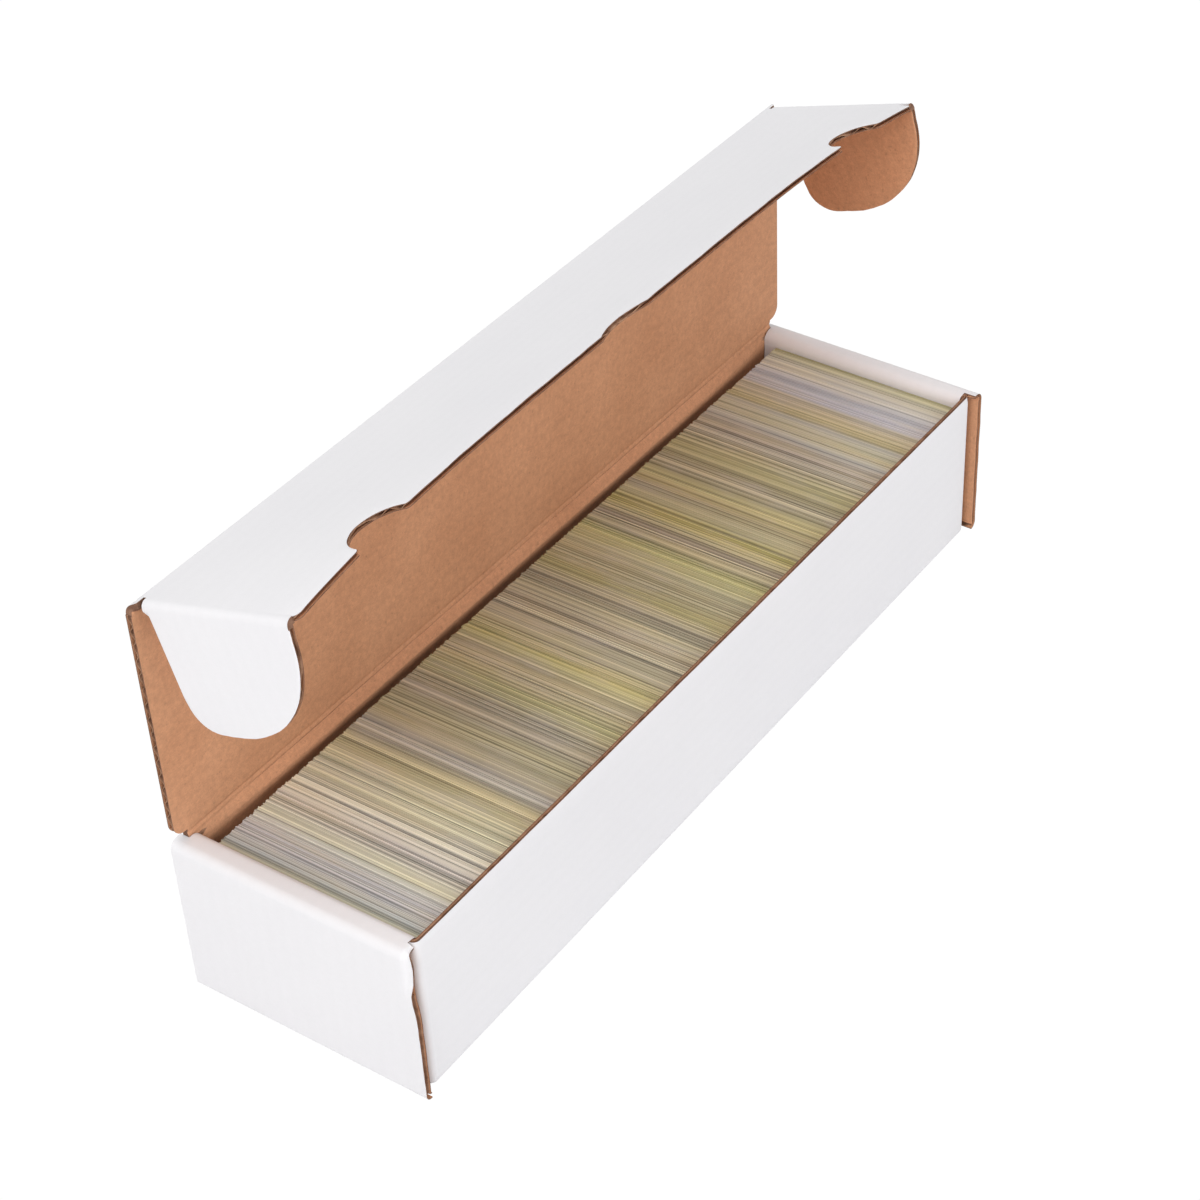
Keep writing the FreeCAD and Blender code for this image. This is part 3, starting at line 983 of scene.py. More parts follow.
@dataclass
class LongWall(Part):
    """A long wall and its two dust flaps, one board folded round both ends.

    The plan is a path along the board.  Up the wall, the board first bends out of the
    bottom on a quarter circle and then stands straight.
    """

    wall: Wall
    bulge: float = 0.35 * MM  # how far the wall bows outwards at the top of its middle
    swell: float = 3.2 * MM  # how far the back wall leans inwards under the hinge, at most
    swell_height: float = 0.93  # height of that swelling's middle, as a share of the wall's
    swell_spread: float = 4.2 * MM  # how far it reaches above and below
    swell_ends: int = 6  # power with which it dies out towards the wall's ends
    rim_crush: float = 0.34  # share of the thickness pressed away along the wall's top
    rim_low: float = 3.5 * MM  # where the pressing starts, below the top
    rim_high: float = 0.3 * MM  # where it is full, below the top
    bead_gap: float = 0.1 * MM  # how far the highest flutes stay under the bead
    foot_gap: float = 0.03 * MM  # how far the board's foot stands off the bottom's
    wave: float = 31 * MM  # wave length of the ragged edge
    seed: float = 2.0  # shift of that wave
    step: float = 12 * MM  # the widest spacing of points along the board
    rows: int = 19  # points from foot to head
    margin: float = 0.006  # share of the height between an edge and the row beside it
    bend_rows: int = 6  # further points up the bend
    rim_rows: int = 7  # further points under the top
    rim_share: float = 0.94  # share of the height where those start
    flute_points: int = 33  # points along a flute of the wall alone

    def __post_init__(self) -> None:
        """Lay out the board's plan and the lengths along and up it."""
        sizes, outward = self.sizes, self.wall.value
        self.radius = sizes.bend - sizes.half
        face = sizes.front_out if self.wall is Wall.FRONT else sizes.back_out
        middle = face - outward * sizes.half
        tip = sizes.dust_tip - (sizes.front_out + sizes.board)
        tip_y = face - outward * (sizes.board + tip)
        end = sizes.slot_in - sizes.half
        self.path = FoldedPath(
            [(-end, tip_y), (-end, middle), (end, middle), (end, tip_y)],
            [self.radius, self.radius],
        )
        self.flap_run = abs(tip_y - middle) - self.radius
        self.bend_rise = self.radius * math.pi / 2
        self.top = self.up(sizes.height)

    def up(self, z: float) -> float:
        """Distance up the board from the bottom's bend to a height."""
        return self.bend_rise + z - self.sizes.bend

    def surface(self, along: Grid, across: Grid) -> tuple[Grid, Grid]:
        """The board's middle surface, bent, bulged and swollen.

        The bulge grows with height and falls off as 1 - (x / half length) squared.  The
        swelling is a bell curve of height, times 1 - |x / half length| to a power.

        Args:
            along: distances along the plan.
            across: distances up the board.

        Returns:
            Points and normals.
        """
        sizes, outward = self.sizes, self.wall.value
        x, y, normal_x, normal_y = self.path.at(along)
        normal_x, normal_y = -outward * normal_x, -outward * normal_y
        turn = np.clip(across / self.radius, 0, math.pi / 2)
        inward = self.radius * (1 - np.sin(turn))
        bent = across < self.bend_rise
        straight = sizes.bend + across - self.bend_rise
        z = np.where(bent, sizes.bend - self.radius * np.cos(turn), straight)
        rise = np.clip(z / sizes.height, 0, 1)
        bulge = self.bulge * (1 - (x / sizes.slot_in) ** 2) * rise * outward
        up = (z - self.swell_height * sizes.height) / self.swell_spread
        lean = self.swell * np.exp(-(up**2))
        ends = np.clip(np.abs(x) / sizes.slot_in, 0, 1) ** self.swell_ends
        lean = lean * (1 - ends) * (self.wall is Wall.BACK)
        points = np.stack(
            [x - normal_x * inward, y - normal_y * inward + bulge - lean, z], axis=-1
        )
        normals = np.stack(
            [normal_x * np.sin(turn), normal_y * np.sin(turn), -np.cos(turn)], axis=-1
        )
        return points, normals

    def press(self, along: Grid, across: Grid) -> Grid:
        """Share pressed away: a smooth step up to the wall's top."""
        low, high = self.top - self.rim_low, self.top - self.rim_high
        return self.rim_crush * smooth_step(across, low, high)

    def build(self) -> None:
        """Build the wall: liners to the outline, a bead on top, two sets of flutes."""
        word, sizes, path = self.wall.word, self.sizes, self.path
        draft = MeshDraft(f"{word}_wall_with_dust_flaps")
        flap, wall_end = self.flap_run, path.length - self.flap_run
        columns = np.union1d(path.samples(self.step), [flap - HAIR, wall_end + HAIR])
        on_flap = (columns < flap - HAIR / 2) | (columns > wall_end + HAIR / 2)
        flap_low, flap_high = self.up(sizes.dust_low), self.up(sizes.dust_top)
        foot = np.where(on_flap, flap_low, self.foot_gap)
        head = np.where(on_flap, flap_high, self.top)
        head = head - self.board.ragged(columns, self.wave, self.wall.value + self.seed)
        up_bend = np.linspace(0, self.bend_rise / self.top, self.bend_rows)
        rim = np.linspace(self.rim_share, 1, self.rim_rows)
        shares = np.concatenate([edge_shares(self.rows, self.margin), up_bend, rim])
        grid = grid_between(columns, foot, head, np.unique(shares))
        self.board.add_liners(draft, self.surface, *grid, self.press)
        self.board.add_bead(draft, self.surface, columns[~on_flap], head[~on_flap])
        run = (columns - columns[0]) / (columns[-1] - columns[0])
        self.board.add_flutes(
            draft, self.surface, run, self.bend_rise, flap_high, even_ends(0, path.length)
        )
        self.board.add_flutes(
            draft, self.surface, np.linspace(0, 1, self.flute_points), flap_high,
            self.top - self.board.bead_depth - self.bead_gap, even_ends(flap, wall_end),
        )
        nodes = [f"{word}_wall", f"left_{word}_dust_flap", f"right_{word}_dust_flap"]
        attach(self.make(draft, "white_board", *nodes), "tray")


@dataclass(frozen=True)
class Wear:
    """The shape that making and use have given one rolled end."""

    roll: float  # radius of the bend from the outer board into the strip
    crush: float = 0.0  # share of the thickness pressed away along the front edge, high up
    turn_in: float = 0.0  # how far that edge is turned in
    recess: float = 0.0  # how far the edge's top corner is pushed back
    squeeze: float = 0.0  # share of the thickness pressed away where the ear goes under


# The wear of each end.
WORN = {
    Side.LEFT: Wear(roll=2.2 * MM, crush=0.72, turn_in=0.9 * MM, recess=1.4 * MM),
    Side.RIGHT: Wear(roll=3.6 * MM, squeeze=0.5),
}


@dataclass
class RolledEnd(Part):
    """An end wall: one board up the outside, over the top and down the inside.

    Its path is the board's section.  Along it lie the height where the pinch starts,
    the bend into the strip, and the step from the wide outer board to the strip.
    """

    side: Side
    inner_roll: float = 2.7 * MM  # radius of the bend from the strip into the inner board
    foot_gap: float = 0.3 * MM  # how far the inner board stands off the bottom
    pinch_from: float = 51.5 * MM  # height where the worn front edge starts
    pinch_rise: float = 4 * MM  # height over which the wear grows to its full depth
    crush_reach: float = 4.5 * MM  # how far in from the edge the crushing reaches
    turn_reach: float = 3.2 * MM  # how far in the turned edge reaches
    worn_rim: float = 1 * MM  # width along the edge where both are full
    pull_low: float = 14 * MM  # how far below pinch_from the edge starts to go back
    pull_high: float = 2 * MM  # how far above it the edge is furthest back
    pull_fade: float = 0.7  # share of that lost again on the way to the top
    pull_reach: float = 8 * MM  # how far in from the edge that reaches
    corner_gap: float = 0.3 * MM  # how far the pushed corner stays clear of the strip's edge
    corner_rise: float = 3 * MM  # how far below the bend the corner starts to go back
    corner_push: float = 0.5  # how much of its room the corner goes back
    squeeze_start: float = 3 * MM  # length over which the squeeze grows after the bend
    squeeze_end: float = 2 * MM  # length over which it ends after the step
    squeeze_low: float = 7 * MM  # how far in from the edge the squeeze starts
    squeeze_high: float = 2.6 * MM  # how far in it is full
    step_gap: float = 0.2 * MM  # how far outside the long wall's end the step lies
    strip_gap: float = 0.3 * MM  # how far the strip's flutes stay back from its edges
    wide_gap: float = 0.4 * MM  # how far the outer board's flutes stay back from its edges
    wave: float = 17 * MM  # wave length of the ragged edges
    seed: float = 3.0  # shift of that wave
    step: float = 4 * MM  # the widest spacing of points along the path
    fine_step: float = 1 * MM  # the spacing at which places along the path are looked up
    rows: int = 17  # points across the board
    margin: float = 0.006  # share of the width between an edge and the row beside it
    # Shares of the width where the front edge has further points.
    front_rows: tuple[float, ...] = (0.013, 0.022, 0.032, 0.043)

    def __post_init__(self) -> None:
        """Lay out the section, and find where the pinch, the bend and the step lie."""
        sizes, self.wear = self.sizes, WORN[self.side]
        foot, self.head = sizes.half, sizes.height - sizes.half
        outer, inner = sizes.end_out - sizes.half, sizes.bay_end + sizes.half
        self.path = FoldedPath(
            [
                (outer - sizes.bend + sizes.half, foot), (outer, foot), (outer, self.head),
                (inner, self.head), (inner, sizes.board + self.foot_gap),
            ],
            [sizes.bend - sizes.half, self.wear.roll, self.inner_roll],
        )
        along = self.path.samples(self.fine_step)
        x, z = self.path.at(along)[:2]
        climb = slice(int(np.argmax(z)))
        heights = [self.pinch_from, self.head - self.wear.roll]
        self.pinch_at, self.roll_at = np.interp(heights, z[climb], along[climb])
        over = along > self.roll_at
        self.step_at = np.interp(-(sizes.slot_in + self.step_gap), -x[over], along[over])

    def to_edge(self, across: Grid, low: float, high: float) -> Grid:
        """Rise from 0 to 1 between two distances in from the front edge."""
        half = self.sizes.end_half
        return smooth_step(-across, half - low, half - high)

    def pinched(self, along: Grid, across: Grid, reach: float) -> Grid:
        """How fully the worn front edge shows: a step of height times one to the edge.

        Args:
            along: distances along the path.
            across: places across the board.
            reach: how far in from the edge it reaches.

        Returns:
            Shares from 0 to 1.
        """
        z = self.path.at(along)[1]
        share = smooth_step(z, self.pinch_from, self.pinch_from + self.pinch_rise)
        return share * self.to_edge(across, reach, self.worn_rim)

    def squeezed(self, along: Grid, across: Grid) -> Grid:
        """Share squeezed away between the bend and the step, towards the front edge.

        Args:
            along: distances along the path.
            across: places across the board.

        Returns:
            Shares of the thickness.
        """
        share = smooth_step(along, self.roll_at, self.roll_at + self.squeeze_start)
        share = share - smooth_step(along, self.step_at, self.step_at + self.squeeze_end)
        edge = self.to_edge(across, self.squeeze_low, self.squeeze_high)
        return self.wear.squeeze * share * edge

    def press(self, along: Grid, across: Grid) -> Grid:
        """Share of the thickness pressed away by the pinch and the squeeze."""
        pinched = self.pinched(along, across, self.crush_reach)
        return self.wear.crush * pinched + self.squeezed(along, across)

    def pulled(self, along: Grid, across: Grid, z: Grid) -> Grid:
        """How far the front edge is back from its line.

        The recess rises smoothly from below the pinch, loses a share towards the top and
        fades away from the edge.  Round the bend, the corner goes back by a share of its
        room in front of the strip, fading in the same way.

        Args:
            along: distances along the path.
            across: places across the board.
            z: heights of the path there.

        Returns:
            Distances towards the back.
        """
        if not self.wear.recess:
            return np.zeros(across.shape)
        full = self.pinch_from + self.pull_high
        pull = smooth_step(z, self.pinch_from - self.pull_low, full)
        pull = pull - self.pull_fade * smooth_step(z, full, self.head)
        back = self.wear.recess * pull * self.to_edge(across, self.pull_reach, 0.0)
        clear = self.sizes.end_half + self.sizes.strip_front - self.corner_gap
        rise = smooth_step(along, self.roll_at - self.corner_rise, self.step_at)
        return back + self.corner_push * clear * self.to_edge(across, clear, 0.0) * rise

    def surface(self, along: Grid, across: Grid) -> tuple[Grid, Grid]:
        """The board's middle surface: the section, moved by the wear.

        Args:
            along: distances along the path.
            across: places across the board.

        Returns:
            Points and normals.
        """
        x, z, normal_x, normal_z = self.path.at(along)
        lift = self.sizes.half * self.squeezed(along, across)
        turned = self.pinched(along, across, self.turn_reach)
        inward = self.wear.turn_in * turned * np.clip(normal_x, 0, 1)
        x = (x + normal_x * (lift - inward)) * self.side.value
        y = across + self.pulled(along, across, z)
        points = np.stack([x, y, z + normal_z * lift], axis=-1)
        normals = np.stack([normal_x * self.side.value, np.zeros(x.shape), normal_z], axis=-1)
        return points, normals

    def build(self) -> None:
        """Build the end: liners cut to the stepped outline, over three sets of flutes."""
        sizes, path, word = self.sizes, self.path, self.side.word
        draft = MeshDraft(f"{word}_rolled_end")
        columns = np.union1d(path.samples(self.step), [self.step_at, self.step_at + HAIR])
        wide = columns <= self.step_at + HAIR / 2
        ragged = self.board.ragged(columns, self.wave, self.side.value + self.seed)
        low = np.where(wide, -sizes.end_half, sizes.strip_front) + ragged
        high = np.where(wide, sizes.end_half, sizes.strip_back) - ragged
        shares = np.union1d(edge_shares(self.rows, self.margin), self.front_rows)
        grid = grid_between(columns, low, high, shares)
        self.board.add_liners(draft, self.surface, *grid, self.press)
        front_top = self.pinch_at if self.wear.crush else self.step_at
        run, gap = columns / path.length, self.strip_gap
        for near, far, top in (
            (sizes.strip_front + gap, sizes.strip_back - gap, path.length),
            (-sizes.end_half + self.wide_gap, sizes.strip_front, front_top),
            (sizes.strip_back, sizes.end_half - self.wide_gap, self.step_at),
        ):
            ends = even_ends(0, top)
            self.board.add_flutes(draft, self.surface, run, near, far, ends, self.press)
        nodes = [f"{word}_end_{part}" for part in ("outer_panel", "rolled_strip", "inner_panel")]
        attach(self.make(draft, "white_board", *nodes), "tray")


@dataclass
class Tray(Part):
    """The folded tray: bottom, long walls with their dust flaps, and rolled ends."""

    def build(self) -> None:
        """Build every piece of the tray."""
        shared = (self.sizes, self.board, self.finishes)
        Bottom(*shared).build()
        for wall in Wall:
            LongWall(*shared, wall).build()
        for side in Side:
            RolledEnd(*shared, side).build()


@dataclass
class Lid(Part):
    """The lid panel, its crease on the back wall, and the crease to the flap."""

    corner: float = 5.0 * MM  # radius of the panel's lower corners
    top_corner: float = 0.3 * MM  # radius of its upper corners
    flute_gap: float = 0.2 * MM  # how far the lowest flute stands off the lower edge
    sway: float = 0.25 * MM  # how far the cut ends of the flutes wander
    wave: float = 23 * MM  # wave length of that wandering
    step: float = 12 * MM  # the widest spacing of points along the panel
    # Half the length that the columns are spread by, so that none coincide.
    nudge: float = 0.001 * MM
    score_depth: float = 0.45 * MM  # depth of a crease's score on the kraft side
    score_width: float = 0.7 * MM  # half its width
    strip_step: float = 0.06  # spacing of points along a crease, as a share of half its length
    strip_gap: float = 0.25 * MM  # how far the back crease reaches down behind the wall's top
    strip_rows: int = 13  # points across a crease
    corner_points: int = 9  # points of a lower corner's round
    rows: int = 15  # points from the panel's lower to its upper edge
    margin: float = 0.006  # share of the height between an edge and the row beside it
    flute_points: int = 9  # points along a flute
    fold_radius: float = 1.5 * MM  # radius of the board round the flap's crease

    def build(self) -> None:
        """Build the lid panel and its two creases."""
        self.build_panel()
        self.build_back_crease()
        self.build_flap_crease()

    def surface(self, along: Grid, across: Grid) -> tuple[Grid, Grid]:
        """The upright plane through the lid's middle, white side to the back."""
        points = np.stack([along, np.full(along.shape, self.sizes.lid_y), across], axis=-1)
        return points, np.broadcast_to([0.0, 1.0, 0.0], points.shape)

    def flute_ends(self, across: Grid) -> tuple[Grid, Grid]:
        """Ends of the flutes: half the lid, less the round of the lower corners.

        Args:
            across: the flutes' heights.

        Returns:
            First and last x of each flute.
        """
        drop = np.clip(self.corner - (across - self.sizes.lid_low), 0, self.corner)
        reach = self.sizes.end_out - self.corner + np.sqrt(self.corner**2 - drop**2)
        jag = self.sway * ripple(across, self.wave, 1.0)
        return -reach + jag, reach + jag

    def build_panel(self) -> None:
        """The lid: a flat board whose columns end on the rounds of its corners."""
        sizes, draft = self.sizes, MeshDraft("lid")
        half, top = sizes.end_out, self.top_corner
        corner = arc((half - self.corner, 0.0), self.corner, -90, 0, self.corner_points)
        right = corner[:, 0]
        rise = corner[:, 1] + self.corner
        middle = stations(-half + self.corner, half - self.corner, self.step)[1:-1]
        columns = np.concatenate([-right[::-1], middle, right])
        low = sizes.lid_low + np.concatenate([rise[::-1], np.zeros(len(middle)), rise])
        columns = columns + np.linspace(-self.nudge, self.nudge, len(columns))
        from_side = np.clip(top - (half - np.abs(columns)), 0, top)
        high = sizes.lid_top - (top - np.sqrt(top**2 - from_side**2))
        grid = grid_between(columns, low, high, edge_shares(self.rows, self.margin))
        self.board.add_liners(draft, self.surface, *grid)
        self.board.add_flutes(
            draft, self.surface, np.linspace(0, 1, self.flute_points),
            sizes.lid_low + self.flute_gap, sizes.lid_top, self.flute_ends,
        )
        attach(self.make(draft, "white_board", "lid_panel"), "lid")

    def crease(self, name: str, node: str, path: FoldedPath, halves: Pair) -> bpy.types.Object:
        """A short board that carries two panels round a fold, scored on its kraft side.

        It follows the path in Y and Z.  The score is a bell curve across it, and its
        half length goes from the first to the second with the square of the way along.

        Args:
            name: the piece's name.
            node: the CAD node it stands for.
            path: the fold's section.
            halves: half of the strip's length where the path starts and where it ends.

        Returns:
            The strip.
        """
        draft, half = MeshDraft(name), self.sizes.half
        columns = stations(-1, 1, self.strip_step)
        rows = np.linspace(0, 1, self.strip_rows)
        share, across = grid_between(columns, 0.0, path.length, rows)
        along = share * (halves[0] + (halves[1] - halves[0]) * (across / path.length) ** 2)
        y, z, normal_y, normal_z = path.at(across)
        points = np.stack([along, y, z], axis=-1)
        normals = np.stack([np.zeros(along.shape), normal_y, normal_z], axis=-1)
        off_centre = (across - path.length / 2) / self.score_width
        score = self.score_depth * np.exp(-(off_centre**2))
        upper = points + normals * half
        lower = points - normals * (half - score)[..., None]
        draft.add_slab(upper, lower, along, across, WHITE_LINER)
        return self.make(draft, "white_board", node)

    def build_back_crease(self) -> None:
        """The strip between the back wall and the lid."""
        sizes, y = self.sizes, self.sizes.lid_y
        path = FoldedPath([(y, sizes.height - self.strip_gap), (y, sizes.lid_low)], [])
        halves = (sizes.slot_in, sizes.slot_in)
        made = self.crease("lid_back_crease", "lid_crease", path, halves)
        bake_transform(made)

    def build_flap_crease(self) -> None:
        """The strip between the lid and the front flap, bent at rest."""
        sizes = self.sizes
        way = sizes.flap_way
        below = (sizes.lid_y, sizes.flap_z - sizes.reach)
        corner = (sizes.lid_y, sizes.flap_z)
        ahead = (sizes.lid_y + way[1] * sizes.reach, sizes.flap_z + way[2] * sizes.reach)
        path = FoldedPath([below, corner, ahead], [self.fold_radius])
        halves = (sizes.end_out - self.top_corner, sizes.ear_x + sizes.half)
        made = self.crease("lid_flap_crease", "flap_crease", path, halves)
        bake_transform(made)


@dataclass
class FrontFlap(Part):
    """The front flap with its thumb notches, its two ears and their creases."""

    corner: float = 3.0 * MM  # radius of the free edge's two corners
    notch_radius: float = 12.5 * MM  # radius of the thumb notches
    notch_mouth: float = 2.0 * MM  # radius that rounds a notch's mouth
    notch_places: Pair = (-143 * MM, 151 * MM)  # X of the two notches
    dent_place: float = -7 * MM  # X of the shallow dent between them
    dent_radius: float = 26.5 * MM  # the dent's radius
    dent_depth: float = 4 * MM  # the dent's depth
    bow: float = 8 * MM  # how far the free edge's middle stands up
    bow_length: int = 4  # power with which the bow dies out towards the flap's ends
    bow_depth: float = 1.6  # power with which it grows towards the free edge
    edge_crush: float = 0.25  # share of the thickness pressed away along a die-cut edge
    crush_reach: float = 2.0 * MM  # how far in from the edge that reaches
    sway: float = 0.15 * MM  # how far the free edge wanders from its line
    wave: float = 19 * MM  # wave length of that wandering
    flute_gap: float = 0.6 * MM  # how far the last flute stays back from the free edge
    step: float = 7 * MM  # the widest spacing of points along the straight parts of the edge
    slope_step: float = 0.1 * MM  # distance over which the warp's slopes are taken
    corner_points: int = 7  # points of a corner's round
    mouth_points: int = 6  # points of each round of a notch's mouth
    notch_points: int = 31  # points of a notch's half circle
    dent_points: int = 15  # points of the dent
    rows: int = 15  # points from the crease to the free edge
    margin: float = 0.008  # share of the depth between an edge and the row beside it
    flute_points: int = 33  # points along a flute
    band_points: int = 13  # points along a flute between two cut-outs
    seed: float = 0.7  # shift of the free edge's wave

    @property
    def depth(self) -> float:
        """Distance from the flap's axis to its free edge."""
        return self.sizes.flap_depth

    def build(self) -> None:
        """Build the flap, the ears and the creases between them."""
        self.build_panel()
        for side in Side:
            ear = Ear(self.sizes, self.board, self.finishes, self, side)
            ear.build_board()
            ear.build_fold()

    def place(self, x: Grid, out: Grid, down: Grid) -> Grid:
        """Points on, over or under the flat flap's middle plane.

        Args:
            x: places along the flap.
            out: distances from its axis.
            down: distances under the plane.

        Returns:
            The points.
        """
        way, under = self.sizes.flap_way, self.sizes.flap_down
        y = self.sizes.lid_y + out * way[1] + down * under[1]
        z = self.sizes.flap_z + out * way[2] + down * under[2]
        return np.stack([x, y, z], axis=-1)

    def lift(self, x: Grid, out: Grid) -> Grid:
        """How far the warped board stands above flat: most at the free edge's middle."""
        spread = 1 - np.abs(np.clip(x / self.sizes.flap_half, -1, 1)) ** self.bow_length
        return self.bow * spread * np.clip(out / self.depth, 0, 1) ** self.bow_depth

    def surface(self, x: Grid, out: Grid) -> tuple[Grid, Grid]:
        """The flap's middle surface: a plane plus the warp, normals from its slopes.

        Args:
            x: places along the flap.
            out: distances from its axis.

        Returns:
            Points and normals.
        """
        small = self.slope_step
        points = self.place(x, out, -self.lift(x, out))
        slope_x = (self.lift(x + small, out) - self.lift(x - small, out)) / (2 * small)
        slope_out = (self.lift(x, out + small) - self.lift(x, out - small)) / (2 * small)
        way, up = self.sizes.flap_way, -self.sizes.flap_down
        normals = up - slope_x[..., None] * np.array([1.0, 0, 0]) - slope_out[..., None] * way
        return points, normals / np.linalg.norm(normals, axis=-1, keepdims=True)

    def notch_edge(self, place: float) -> Grid:
        """A thumb notch's outline: a half circle on the edge, with a rounded mouth.

        Each side of the mouth is a small arc that touches the edge and the half circle,
        so its centre stands a mouth's radius in from the edge and both radii away from
        the notch's centre.

        Args:
            place: X of the notch's centre.

        Returns:
            Rows of x and distance out.
        """
        edge, notch, mouth = self.depth, self.notch_radius, self.notch_mouth
        points = self.mouth_points
        aside = math.sqrt((notch + mouth) ** 2 - mouth**2)
        tilt = math.degrees(math.atan2(mouth, aside))
        return np.concatenate(
            [
                arc((place - aside, edge - mouth), mouth, 90, -tilt, points),
                arc((place, edge), notch, 180 + tilt, 360 - tilt, self.notch_points)[1:-1],
                arc((place + aside, edge - mouth), mouth, 180 + tilt, 90, points),
            ]
        )

    def free_edge(self) -> Grid:
        """The free edge from left to right: rounds, straight runs, notches and dent.

        Returns:
            Rows of x and distance out.
        """
        edge, half, corner = self.depth, self.sizes.flap_half, self.corner
        shallow = self.dent_radius - self.dent_depth
        chord = math.sqrt(self.dent_radius**2 - shallow**2)
        swing = math.degrees(math.asin(chord / self.dent_radius))
        dent = ((self.dent_place, edge + shallow), self.dent_radius, -90 - swing, -90 + swing)
        left, right = (self.notch_edge(place) for place in self.notch_places)
        parts = [
            arc((-half + corner, edge - corner), corner, 180, 90, self.corner_points),
            left,
            arc(*dent, self.dent_points),
            right,
            arc((half - corner, edge - corner), corner, 90, 0, self.corner_points),
        ]
        line = [parts[0]]
        for here, there in zip(parts, parts[1:]):
            between = stations(here[-1, 0], there[0, 0], self.step)[1:-1]
            line += [np.stack([between, np.full(len(between), edge)], axis=1), there]
        return np.concatenate(line)

    def bands(self, out: Grid) -> list[tuple[Grid, Grid]]:
        """The stretches of flute at a place near the free edge, between the cut-outs.

        A cut-out's half width at a place is the square root of its radius squared less
        the distance from its centre squared.

        Args:
            out: distances from the axis.

        Returns:
            First and last x of each stretch.
        """
        half = self.sizes.flap_half
        gap = np.sqrt(np.clip(self.notch_radius**2 - (self.depth - out) ** 2, 0, None))
        rise = self.depth + self.dent_radius - self.dent_depth - out
        dent = np.sqrt(np.clip(self.dent_radius**2 - rise**2, 0, None))
        left, right = self.notch_places
        stops = [-half, left - gap, left + gap, self.dent_place - dent]
        stops += [self.dent_place + dent, right - gap, right + gap, half]
        full = [np.broadcast_to(stop, out.shape) for stop in stops]
        return list(zip(full[0::2], full[1::2]))

    def build_panel(self) -> None:
        """The flap: warped liners cut to the free edge, over flutes that end there."""
        draft, half = MeshDraft("front_flap_board"), self.sizes.flap_half
        columns, edge = self.free_edge().T
        high = edge + self.sway * ripple(columns, self.wave, self.seed)
        shares = edge_shares(self.rows, self.margin)
        grid = grid_between(columns, self.sizes.reach, high, shares)
        self.board.add_liners(draft, self.surface, *grid, self.edge_press(columns, edge))
        deep, last = self.depth - self.notch_radius, self.depth - self.flute_gap
        run = np.linspace(0, 1, self.flute_points)
        ends = even_ends(-half, half)
        self.board.add_flutes(draft, self.surface, run, self.sizes.reach, deep, ends)
        run = np.linspace(0, 1, self.band_points)
        for number in range(len(self.bands(columns))):
            self.board.add_flutes(
                draft, self.surface, run, deep, last,
                lambda out, number=number: self.bands(out)[number],
            )
        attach(self.make(draft, "white_board", "front_flap"), "flap")

    def edge_press(self, columns: Grid, edge: Grid) -> Field:
        """Crush the board a little along its die-cut edge.

        Args:
            columns: places along the board.
            edge: the edge's place across it at each of them.

        Returns:
            The share pressed away, as a function of place.
        """

        def press(along: Grid, across: Grid) -> Grid:
            """A smooth step up to the edge."""
            there = np.interp(along, columns, edge)
            return self.edge_crush * smooth_step(across, there - self.crush_reach, there)

        return press


